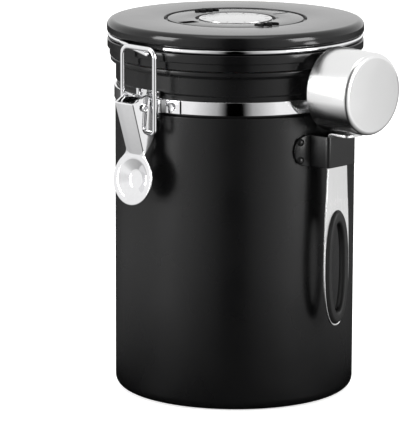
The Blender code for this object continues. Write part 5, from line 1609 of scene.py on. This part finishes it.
@dataclass
class LidShell:
    """Lower moulding, gasket, cover and screws of the lid."""

    base_radius: float = 0.0639
    base_top: float = 0.1771
    base_edge: float = 0.0005
    step_height: float = 0.1727
    step_radius: float = 0.0628
    step_rounding: float = 0.0003
    lip_bottom: float = 0.1691
    lip_wall: float = 0.0006
    lip_edge: float = 0.0002
    recess_top: float = 0.1712
    floor_bottom: float = 0.1745
    floor_rounding: float = 0.0012
    plug_radius: float = 0.0579
    plug_shoulder: float = 0.1684
    plug_shoulder_rounding: float = 0.0008
    plug_taper: tuple[float, float, float] = (0.0546, 0.165808, 0.004)
    plug_foot_radius: float = 0.0513
    plug_foot_rounding: float = 0.0009
    plug_bottom: float = 0.1630
    plug_wall: float = 0.0020
    stem_hole: float = 0.0083
    gasket_inner: float = 0.0582
    gasket_outer: float = 0.0619
    gasket_top: float = 0.1709
    gasket_edges: tuple[float, float] = (0.0004, 0.0005)
    cover_radius: float = 0.0641
    cover_top: float = 0.18680
    cover_bottom: float = 0.17995
    cover_foot: float = 0.1774
    cover_foot_radius: float = 0.0610
    cover_nose: float = 0.0034
    lip_rounding: float = 0.0016
    well_radius: float = 0.0356
    well_floor: float = 0.1839
    well_edge: float = 0.0004
    pocket_radius: float = 0.0090
    pocket_top: float = 0.1799
    hub_radius: float = 0.0033
    hub_floor: float = 0.1824
    screw_circle: float = 0.0420
    screw_head: float = 0.0028
    screw_head_height: float = 0.0014
    screw_head_edge: float = 0.0001
    crown_share: float = 0.6
    screw_shank: float = 0.0013
    screw_tip_share: float = 0.6
    screw_tip: float = 0.0008
    screw_hole: float = 0.0016
    screw_hole_half: float = 0.004
    screw_hole_sink: float = 0.0013
    screw_top: float = 0.1742
    screw_bite: float = 0.0058
    recess_half_length: float = 0.0014
    recess_half_width: float = 0.0003
    recess_depth: float = 0.0009
    recess_over: float = 0.0002

    def base_profile(self) -> np.ndarray:
        """Draw the lower moulding from its hole out over the rim and down to the plug.

        Returns:
            Array of (radius, height), a loop.
        """
        foot, edge, lip = self.plug_foot_radius, self.base_edge, self.step_radius - self.lip_wall
        return eased([
            (self.stem_hole, self.base_top, 0), (self.base_radius, self.base_top, edge),
            (self.base_radius, self.step_height, edge),
            (self.step_radius, self.step_height, self.step_rounding),
            (self.step_radius, self.lip_bottom, self.lip_edge),
            (lip, self.lip_bottom, self.lip_edge),
            (lip, self.recess_top, 0), (self.plug_radius, self.recess_top, 0),
            (self.plug_radius, self.plug_shoulder, self.plug_shoulder_rounding),
            self.plug_taper, (foot, self.plug_bottom, self.plug_foot_rounding),
            (foot - self.plug_wall, self.plug_bottom, edge),
            (foot - self.plug_wall, self.floor_bottom, self.floor_rounding),
            (self.stem_hole, self.floor_bottom, 0)], True, 5)

    def cover_profile(self) -> np.ndarray:
        """Draw the cover from the well's middle over the nose to the valve's pocket.

        Returns:
            Array of (radius, height).
        """
        foot, edge = self.cover_foot_radius, self.well_edge
        return eased([
            (0, self.hub_floor, 0), (self.hub_radius, self.hub_floor, 0),
            (self.hub_radius, self.well_floor, 0), (self.well_radius, self.well_floor, edge),
            (self.well_radius, self.cover_top, self.base_edge),
            (self.cover_radius, self.cover_top, self.cover_nose),
            (self.cover_radius, self.cover_bottom, self.lip_rounding),
            (foot, self.cover_bottom, edge), (foot, self.cover_foot, self.lip_edge),
            (self.pocket_radius, self.cover_foot, 0), (self.pocket_radius, self.pocket_top, 0),
            (0, self.pocket_top, 0)], steps=10)

    def gasket(self) -> Surface:
        """Turn the seal, a ring with rounded edges.

        Returns:
            A closed surface.
        """
        inner, outer, (soft, softer) = self.gasket_inner, self.gasket_outer, self.gasket_edges
        return revolved(eased([(inner, self.gasket_top, soft), (outer, self.gasket_top, softer),
                               (outer, self.lip_bottom, softer), (inner, self.lip_bottom, soft)],
                              True, 4), 192, True)

    def screw(self) -> Surface:
        """Turn one pan-head screw, its head's upper face at zero.

        Returns:
            A closed surface.
        """
        head, height, shank = self.screw_head, self.screw_head_height, self.screw_shank
        return revolved(eased([
            (0, self.screw_bite, 0), (shank * self.screw_tip_share, self.screw_bite, 0),
            (shank, self.screw_bite - self.screw_tip, 0), (shank, 0, 0),
            (head, 0, self.screw_head_edge), (head, -height, height * self.crown_share),
            (0, -height, 0)]), 32)

    def blade(self) -> Surface:
        """Make one bar of the cross recess, from below the head's crown up into it.

        Returns:
            A closed surface.
        """
        long, wide = self.recess_half_length, self.recess_half_width
        outline = np.array([[long, -wide], [long, wide], [-long, wide], [-long, -wide]])
        crown = -self.screw_head_height
        return prism(outline, crown - self.recess_over, crown + self.recess_depth)

    def built(self, plastic: bpy.types.Material, steel: bpy.types.Material) -> None:
        """Make the lid's fixed pieces.

        Args:
            plastic: finish of both mouldings.
            steel: finish of the screws.
        """
        hole = drum(self.screw_hole, -self.screw_hole_half, self.screw_hole_half, 20)
        angles = [radians(45.0 + 90.0 * k) for k in range(4)]
        spots = [shifted(self.screw_circle * cos(a), self.screw_circle * sin(a)) for a in angles]
        lower = Piece("lid_moulding", "lid", "gloss_black_plastic", "lid_base").made(
            revolved(self.base_profile(), 256, True), plastic)
        sunk = self.base_top - self.screw_hole_sink
        cut_from(lower, [hole.placed(spot @ shifted(z=sunk)) for spot in spots])
        Piece("lid_seal", "lid", "silicone", "lid_gasket").made(
            self.gasket(), Rubber("silicone", (0.55, 0.55, 0.53), 0.45, 0.2).material())
        cover = Piece("lid_top", "lid", "gloss_black_plastic", "lid_cover").made(
            revolved(self.cover_profile(), 288), plastic)
        cut_from(cover, [hole.placed(spot @ shifted(z=self.cover_foot)) for spot in spots])
        for number, (spot, angle) in enumerate(zip(spots, angles), 1):
            place = spot @ turned(angle) @ shifted(z=self.screw_top)
            screw = Piece(f"lid_fixing_{number}", "lid", "polished_steel",
                          f"lid_screw_{number}").made(self.screw().placed(place), steel)
            cut_from(screw, [self.blade().placed(place @ turned(way)) for way in (0.0, QUARTER)])


@dataclass
class Dials:
    """Date dial, number ring, month disc and hub in the lid's well."""

    outer: float = 0.0353
    inner: float = 0.0195
    top: float = 0.1866
    bottom: float = 0.1851
    edge: float = 0.0003
    foot_edge: float = 0.0001
    step_outer: float = 0.0339
    step_inner: float = 0.0200
    step_bottom: float = 0.1854
    window_azimuth: float = -102.0
    window_length: float = 0.0092
    window_width: float = 0.0062
    window_corner: float = 0.0008
    window_middle: float = 0.0280
    cutter_drop: float = 0.001
    cutter_height: float = 0.004
    slit_azimuth: float = 80.0
    slit_width: float = 0.0016
    notch_azimuth: float = 44.0
    notch_radius: float = 0.0012
    notch_middle: float = 0.0205
    notch_depth: float = 0.001
    grip_azimuths: tuple[float, float] = (-13.0, 165.0)
    grip_radius: float = 0.0286
    grip_span: float = 26.0
    grip_width: float = 0.0030
    grip_wave: float = 0.0017
    grip_waves: int = 3
    grip_rise_share: float = 0.7
    grip_height: float = 0.0012
    grip_end_power: float = 0.4
    grip_sink: float = 0.0002
    ring_inner: float = 0.0215
    ring_outer: float = 0.0345
    ring_bottom: float = 0.1842
    ring_top: float = 0.1848
    mark_height: float = 0.00004
    day_marks: tuple[float, float, float] = (0.0226, 0.0016, 0.0003)
    month_marks: tuple[float, float, float] = (0.0152, 0.0020, 0.00045)
    disc_radius: float = 0.0192
    disc_top: float = 0.1867
    disc_step: float = 0.0182
    disc_edge: float = 0.0002
    disc_hole: float = 0.0033
    hub_radius: float = 0.0030
    hub_bottom: float = 0.1827
    hub_top: float = 0.1852
    hub_gap: float = 0.0003

    def window(self, azimuth: float, width: float) -> Surface:
        """Make the cutter of one window, with rounded corners.

        Args:
            azimuth: direction of its middle, in degrees from +X.
            width: its breadth round the dial.

        Returns:
            A closed surface.
        """
        long, half = self.window_length / 2, width / 2
        corner = min(self.window_corner, width / 4)
        outline = eased([(long, -half, corner), (long, half, corner), (-long, half, corner),
                         (-long, -half, corner)], True, 5)
        place = turned(radians(azimuth)) @ shifted(self.window_middle, 0.0,
                                                   self.bottom - self.cutter_drop)
        return prism(outline, 0.0, self.cutter_height).placed(place)

    def notch(self) -> Surface:
        """Make the cutter of the notch in the date dial's inner edge."""
        place = turned(radians(self.notch_azimuth)) @ shifted(self.notch_middle, 0.0, self.top)
        return drum(self.notch_radius, -self.notch_depth, self.notch_depth, 24).placed(place)

    def grip(self, azimuth: float) -> Surface:
        """Raise one wavy finger ridge.

        Its middle line lies at radius - wave cos(2 pi f), where f goes from 0 to
        1/2 over the slow share of each wave and on to 1 over the rest. Its half
        width is half the width x sin(pi s)^power, and its height falls from the
        crest to both sides as the square root of 1 - (offset / half width)^4.

        Args:
            azimuth: direction of its middle, in degrees from +X.

        Returns:
            A closed surface.
        """
        share = np.linspace(0.0, 1.0, 65)
        angle = radians(azimuth - self.grip_span / 2) + radians(self.grip_span) * share
        phase = np.interp(self.grip_waves * share % 1.0, [0.0, self.grip_rise_share, 1.0],
                          [0.0, 0.5, 1.0])
        middle = self.grip_radius - self.grip_wave * np.cos(TURN * phase)
        grow = np.clip(np.sin(pi * share), 0.0, 1.0) ** self.grip_end_power
        offset = np.linspace(-1.0, 1.0, 13)
        radius = middle[:, None] + 0.5 * self.grip_width * grow[:, None] * offset
        rise = np.sqrt(np.clip(1.0 - offset ** 4, 0.0, 1.0))
        height = self.top + self.grip_height * rise * np.sqrt(grow[:, None])
        ridge = np.stack([radius * np.cos(angle)[:, None], radius * np.sin(angle)[:, None],
                          height], -1)
        foot = ridge[:, ::-1].copy()
        foot[..., 2] = self.top - self.grip_sink
        return lattice(np.concatenate([ridge, foot], 1), False, True)

    def marks(self, count: int, top: float, sizes: tuple[float, float, float]) -> Surface:
        """Print a circle of fine marks, each a thin bar.

        Args:
            count: marks round the circle.
            top: height of the face they lie on.
            sizes: the radius where a mark starts, its length and its width.

        Returns:
            All the marks.
        """
        radius, length, width = sizes
        x = np.tile([radius, radius + length, radius + length, radius], 2)
        y = np.tile([-width / 2, -width / 2, width / 2, width / 2], 2)
        z = top + np.repeat([-self.mark_height / 2, self.mark_height / 2], 4)
        angle = np.arange(count)[:, None] * TURN / count
        points = np.stack([x * np.cos(angle) - y * np.sin(angle),
                           x * np.sin(angle) + y * np.cos(angle),
                           np.broadcast_to(z, (count, 8))], -1)
        faces = np.array([[0, 3, 2, 1], [4, 5, 6, 7], [0, 1, 5, 4], [1, 2, 6, 5], [2, 3, 7, 6],
                          [3, 0, 4, 7]])
        faces = faces + 8 * np.arange(count)[:, None, None]
        return Surface(points.reshape(-1, 3), faces.reshape(-1, 4))

    def dial(self, plastic: bpy.types.Material) -> None:
        """Turn the date dial, cut its windows and notch and raise its finger ridges.

        Args:
            plastic: its finish.
        """
        low, step, top = self.bottom, self.step_bottom, self.top
        ring = eased([(self.step_outer, top, self.edge), (self.step_outer, step, 0),
                      (self.outer, step, 0), (self.outer, low, self.foot_edge),
                      (self.inner, low, self.foot_edge), (self.inner, step, 0),
                      (self.step_inner, step, 0), (self.step_inner, top, self.edge)], True, 4)
        dial = Piece("date_ring", "date_dial", "grey_dial_plastic", "date_dial").made(
            revolved(ring, 224, True), plastic)
        cut_from(dial, [self.window(self.window_azimuth, self.window_width),
                        self.window(self.slit_azimuth, self.slit_width), self.notch()])
        ridge = Plastic("ridge plastic", (0.003, 0.003, 0.003), 0.5, 0.1).material()
        for number, azimuth in enumerate(self.grip_azimuths, 1):
            Piece(f"finger_ridge_{number}", "date_dial", "black_rubber").made(
                self.grip(azimuth), ridge)

    def card(self, ink: bpy.types.Material) -> None:
        """Turn the number ring and print its day marks.

        Args:
            ink: finish of the marks.
        """
        card = [(self.ring_outer, self.ring_top), (self.ring_outer, self.ring_bottom),
                (self.ring_inner, self.ring_bottom), (self.ring_inner, self.ring_top)]
        Piece("day_card", "lid", "white_print_ring", "number_ring").made(
            revolved(card, 128, True), Plastic("printed card", (0.70, 0.70, 0.69), 0.5).material())
        marks = self.marks(31, self.ring_top + self.mark_height / 2, self.day_marks)
        Piece("day_marks", "lid", "black_rubber").made(marks, ink, 1e-9)

    def disc(self, ink: bpy.types.Material, steel: bpy.types.Material) -> None:
        """Turn the month disc and its hub, and print the month marks.

        Args:
            ink: finish of the marks.
            steel: finish of the hub.
        """
        roof, step, low = self.hub_top + self.hub_gap, self.step_bottom, self.ring_bottom
        disc = eased([(0, self.disc_top, 0), (self.disc_step, self.disc_top, self.disc_edge),
                      (self.disc_step, step, 0), (self.disc_radius, step, 0),
                      (self.disc_radius, low, 0), (self.disc_hole, low, 0),
                      (self.disc_hole, roof, 0), (0, roof, 0)], steps=4)
        silver = Steel("spun silver", (0.72, 0.72, 0.72), 0.24, 0.06, Brushing.RINGS,
                       0.000005, 5200.0).material()
        Piece("month_plate", "month_disc", "silver_disc", "month_disc").made(
            revolved(disc, 160), silver)
        Piece("month_marks", "month_disc", "black_rubber").made(
            self.marks(12, self.disc_top, self.month_marks), ink, 1e-9)
        pin = eased([(0, self.hub_top, 0), (self.hub_radius, self.hub_top, self.edge),
                     (self.hub_radius, self.hub_bottom, self.edge), (0, self.hub_bottom, 0)],
                    steps=3)
        Piece("hub_pin", "lid", "polished_steel", "dial_hub").made(revolved(pin, 48), steel)

    def built(self, plastic: bpy.types.Material, steel: bpy.types.Material) -> None:
        """Make the dials.

        Args:
            plastic: finish of the date dial.
            steel: finish of the hub.
        """
        ink = Plastic("print ink", (0.01, 0.01, 0.01), 0.9, 0.0).material()
        self.dial(plastic)
        self.card(ink)
        self.disc(ink, steel)


@dataclass
class GasValve:
    """One-way valve under the lid: seat, flap, filter and cap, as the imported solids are."""

    moulding_bevel: float = 0.00015
    thin_bevel: float = 0.00008
    sharp: float = 30.0

    def built(self, plastic: bpy.types.Material) -> None:
        """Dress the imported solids, merged and with softened edges.

        Args:
            plastic: finish of seat and cap.
        """
        flap = Rubber("flap silicone", (0.60, 0.60, 0.58), 0.45, 0.2).material()
        for name, slot, node, material, bevel in (
                ("valve_seat", "gloss_black_plastic", "valve_body", plastic, self.moulding_bevel),
                ("valve_umbrella", "silicone", "valve_flap", flap, self.thin_bevel),
                ("valve_gauze", "filter_mesh", "valve_filter", Gauze().material(),
                 self.thin_bevel),
                ("valve_cup", "gloss_black_plastic", "valve_cap", plastic, self.moulding_bevel)):
            Piece(name, "lid", slot, node, self.sharp).refined(material, bevel)


# ---- Scoop ----

@dataclass
class Scoop:
    """Bowl, handle and rubber grip of the measuring scoop."""

    azimuth: float = 90.5
    bowl_radius: float = 0.0208
    face_radius: float = 0.0200
    bowl_depth: float = 0.0250
    bowl_wall: float = 0.0008
    bowl_edge: float = 0.0026
    lip_share: float = 0.45
    bowl_reach: float = 0.0670
    bowl_height: float = 0.1587
    handle_reach: float = 0.0687
    handle_thickness: float = 0.0012
    top_half_width: float = 0.0064
    half_width: float = 0.0088
    tab_top: float = 0.1378
    tab_length: float = 0.0130
    tab_corner: float = 0.003
    bend: float = 0.0010
    middle: float = 0.0702
    bottom: float = 0.0408
    end_power: float = 2.2
    eye_half_width: float = 0.0081
    eye_half_length: float = 0.0285
    eye_land: float = 0.0052
    seam_drop: float = 0.00002
    spacing: float = 0.0006
    loop_points: int = 160
    grip_half_width: float = 0.0079
    grip_half_length: float = 0.0283
    grip_thickness: float = 0.0044
    grip_power: float = 2.3
    slot_half_width: float = 0.0037
    slot_half_length: float = 0.0220
    grip_edge: float = 0.0019
    edge: float = 0.0002

    def bowl(self) -> Surface:
        """Turn the bowl: open mouth with a rounded lip, straight side, rounded bottom edge.

        Returns:
            A closed surface.
        """
        radius, face, depth, wall = (self.bowl_radius, self.face_radius, self.bowl_depth,
                                     self.bowl_wall)
        lip = wall * self.lip_share
        return revolved(eased([
            (0, depth, 0), (face, depth, self.bowl_edge), (radius, 0, lip),
            (radius - wall, 0, lip), (face - wall, depth - wall, self.bowl_edge - wall),
            (0, depth - wall, 0)], steps=8), 192)

    def side_half(self, height: np.ndarray) -> np.ndarray:
        """Measure half the handle's width.

        It eases from the top's to the middle's as 3 t^2 - 2 t^3.

        Args:
            height: heights along the handle.

        Returns:
            The half width at each of them.
        """
        share = np.clip((self.tab_top - height) / (self.tab_top - self.middle), 0.0, 1.0)
        return self.top_half_width + (self.half_width - self.top_half_width) * (
            share * share * (3.0 - 2.0 * share))

    def eye(self, top: float) -> Surface:
        """Make the eye part, a ring with one point of each loop for each angle.

        The outer loop is half a superellipse below the eye's middle. Above it, a
        point of a square of the same angle is stretched to the handle's own width
        and to the ring's top.

        Args:
            top: height at which the ring ends.

        Returns:
            A closed surface.
        """
        angle = np.arange(self.loop_points) * TURN / self.loop_points
        down = superellipse(self.half_width, self.middle - self.bottom, self.end_power,
                            self.loop_points)
        square = np.abs(np.column_stack([np.cos(angle), np.sin(angle)]))
        square /= square.max(1, keepdims=True)
        height = (top - self.middle) * square[:, 1]
        side = np.sign(np.cos(angle)) * self.side_half(self.middle + height) * square[:, 0]
        upper = np.sin(angle)[:, None] > 0
        outer = np.where(upper, np.column_stack([side, height]), down)
        inner = superellipse(self.eye_half_width, self.eye_half_length, self.grip_power,
                             self.loop_points)
        ring = soft_ring(outer, inner, self.handle_thickness / 2, self.edge, 3)
        return ring.placed(shifted(y=self.middle))

    def stem(self, top: float) -> Surface:
        """Run the strip on above the eye and bend it outwards along a quarter circle.

        Its half width falls to its end as corner - sqrt(corner^2 - over^2), where
        over is how far a point lies past the start of the rounded corners.

        Args:
            top: height at which the ring ends.

        Returns:
            A closed surface.
        """
        half, corner = self.handle_thickness / 2, self.tab_corner
        bent, end = self.tab_top - half, self.tab_length - half
        line = evened(eased([(0, top - self.seam_drop, 0, 0), (0, bent, 0, self.bend + half),
                             (0, bent, end, 0)], steps=12), self.spacing)
        over = np.clip((line[:, 2] - (end - corner)) / corner, 0.0, 1.0)
        wide = self.side_half(np.minimum(line[:, 1], self.tab_top))
        wide = wide - corner + corner * np.sqrt(1.0 - over ** 2)
        across, up = soft_section(wide, half, self.edge, 3)
        return swept(line, across, up, X_AXIS)

    def grip(self) -> Surface:
        """Make the rubber oval round its finger slot.

        Returns:
            A closed surface.
        """
        outer, inner = (superellipse(*half, self.grip_power, self.loop_points) for half in (
            (self.grip_half_width, self.grip_half_length),
            (self.slot_half_width, self.slot_half_length)))
        ring = soft_ring(outer, inner, self.grip_thickness / 2, self.grip_edge, 6)
        return ring.placed(shifted(y=self.middle))

    def built(self) -> None:
        """Make the scoop's three pieces."""
        mouth = side_frame(self.azimuth, self.bowl_reach, self.bowl_height)
        place = side_frame(self.azimuth, self.handle_reach)
        turned_steel = Steel("turned steel", (0.86,) * 3, 0.20, 0.05, Brushing.TURNED, 0.000006,
                             5000.0, mouth).material()
        drawn_steel = Steel("drawn steel", (0.80,) * 3, 0.25, 0.05, Brushing.ALONG_Y, 0.000006,
                            5000.0, mouth).material()
        rubber = Rubber("black rubber", (0.006,) * 3, 0.5).material()
        Piece("scoop_cup", "scoop", "brushed_steel", "scoop_bowl").made(
            self.bowl().placed(mouth), turned_steel)
        top = self.middle + self.eye_half_length + self.eye_land
        stem = Piece("scoop_stem", "scoop", "brushed_steel", "scoop_handle").made(
            (self.eye(top) + self.stem(top)).placed(place), drawn_steel)
        stem.modifiers.new("flat faces", "WEIGHTED_NORMAL").keep_sharp = True
        Piece("scoop_rubber", "scoop", "black_rubber", "scoop_grip").made(
            self.grip().placed(place), rubber)


@dataclass
class ScoopStrap:
    """Hat-shaped bracket that the scoop's handle drops into, with its four rivets."""

    azimuth: float = 90.5
    thickness: float = 0.0011
    half_height: float = 0.0077
    middle: float = 0.1287
    inner_half: float = 0.0090
    face_inner: float = 0.0711
    flange_inner: float = 0.0602
    half_span: float = 0.0190
    corner: float = 0.0074
    corner_limit: float = 0.9999
    bend: float = 0.0018
    edge: float = 0.0003
    spacing: float = 0.0004
    rivet_side: float = 0.0160
    rivet_rise: float = 0.0045
    rivet_stand: float = 0.0003

    def surface(self) -> Surface:
        """Stand the bracket's strip on its plan line.

        Its half height falls towards each end so that the corners seen from
        outside are quarter circles: h - c + sqrt(c^2 - (|x| - (span - c))^2).

        Returns:
            A closed surface.
        """
        half = self.thickness / 2
        wall, face, flange = (self.inner_half + half, self.face_inner + half,
                              self.flange_inner + half)
        foot = sqrt(flange ** 2 - wall ** 2)
        start, end = np.degrees(np.arctan2(foot, wall)), 90.0 - azimuth_of(self.half_span, flange)
        arc = arc_points((0, 0), flange, end, start, 14)
        hat = eased([(*arc[-1], 0), (wall, face, self.bend - half),
                     (-wall, face, self.bend - half), (-wall, foot, 0)], steps=8)
        plan = evened(np.vstack([arc[:-1], hat, (arc * (-1.0, 1.0))[::-1][1:]]), self.spacing)
        side = np.abs(plan[:, 0])
        over = np.clip(side - (self.half_span - self.corner), 0.0,
                       self.corner * self.corner_limit)
        tall = self.half_height - self.corner + np.sqrt(self.corner ** 2 - over ** 2)
        tall = np.where(side > wall + half, tall, self.half_height)
        place = turned(radians(self.azimuth)) @ np.diag([1.0, -1.0, 1.0, 1.0])
        return ribbon(plan, half, tall, self.edge).placed(shifted(z=self.middle) @ place)

    def built(self, coat: bpy.types.Material) -> None:
        """Make the bracket and its rivets.

        Args:
            coat: their finish.
        """
        Piece("scoop_bracket", "can", "satin_black_coat", "scoop_strap").made(
            self.surface(), coat)
        outer = self.flange_inner + self.thickness
        turn = azimuth_of(self.rivet_side, outer)
        spots = [(side, rise) for side in (-1, 1) for rise in (-self.rivet_rise, self.rivet_rise)]
        for number, (side, rise) in enumerate(spots, 1):
            place = side_frame(self.azimuth + side * turn, outer + self.rivet_stand,
                               self.middle + rise)
            Piece(f"bracket_rivet_{number}", "can", "satin_black_coat",
                  f"strap_rivet_{number}").made(Rivet().surface().placed(place), coat)


def main() -> None:
    """Build the canister's sub-assemblies in order, then the studio."""
    coat = SatinCoat("bracket coat", roughness=0.3, shine=0.4).material()
    chrome = Steel("polished steel", (0.86, 0.86, 0.87), 0.07, 0.02, Brushing.NONE, 0.000001,
                   500.0).material()
    plastic = Plastic("gloss black plastic", (0.0036, 0.0036, 0.0038), 0.14, 0.36).material()
    Can().built()
    NeckBand().built(chrome)
    RearHinge().built(chrome)
    RingWire().built(chrome)
    ToggleLatch().built(chrome)
    LidShell().built(plastic, chrome)
    Dials().built(plastic, chrome)
    GasValve().built(plastic)
    ScoopStrap().built(coat)
    Scoop().built()
    Studio().built()


if __name__ == "__main__":
    main()
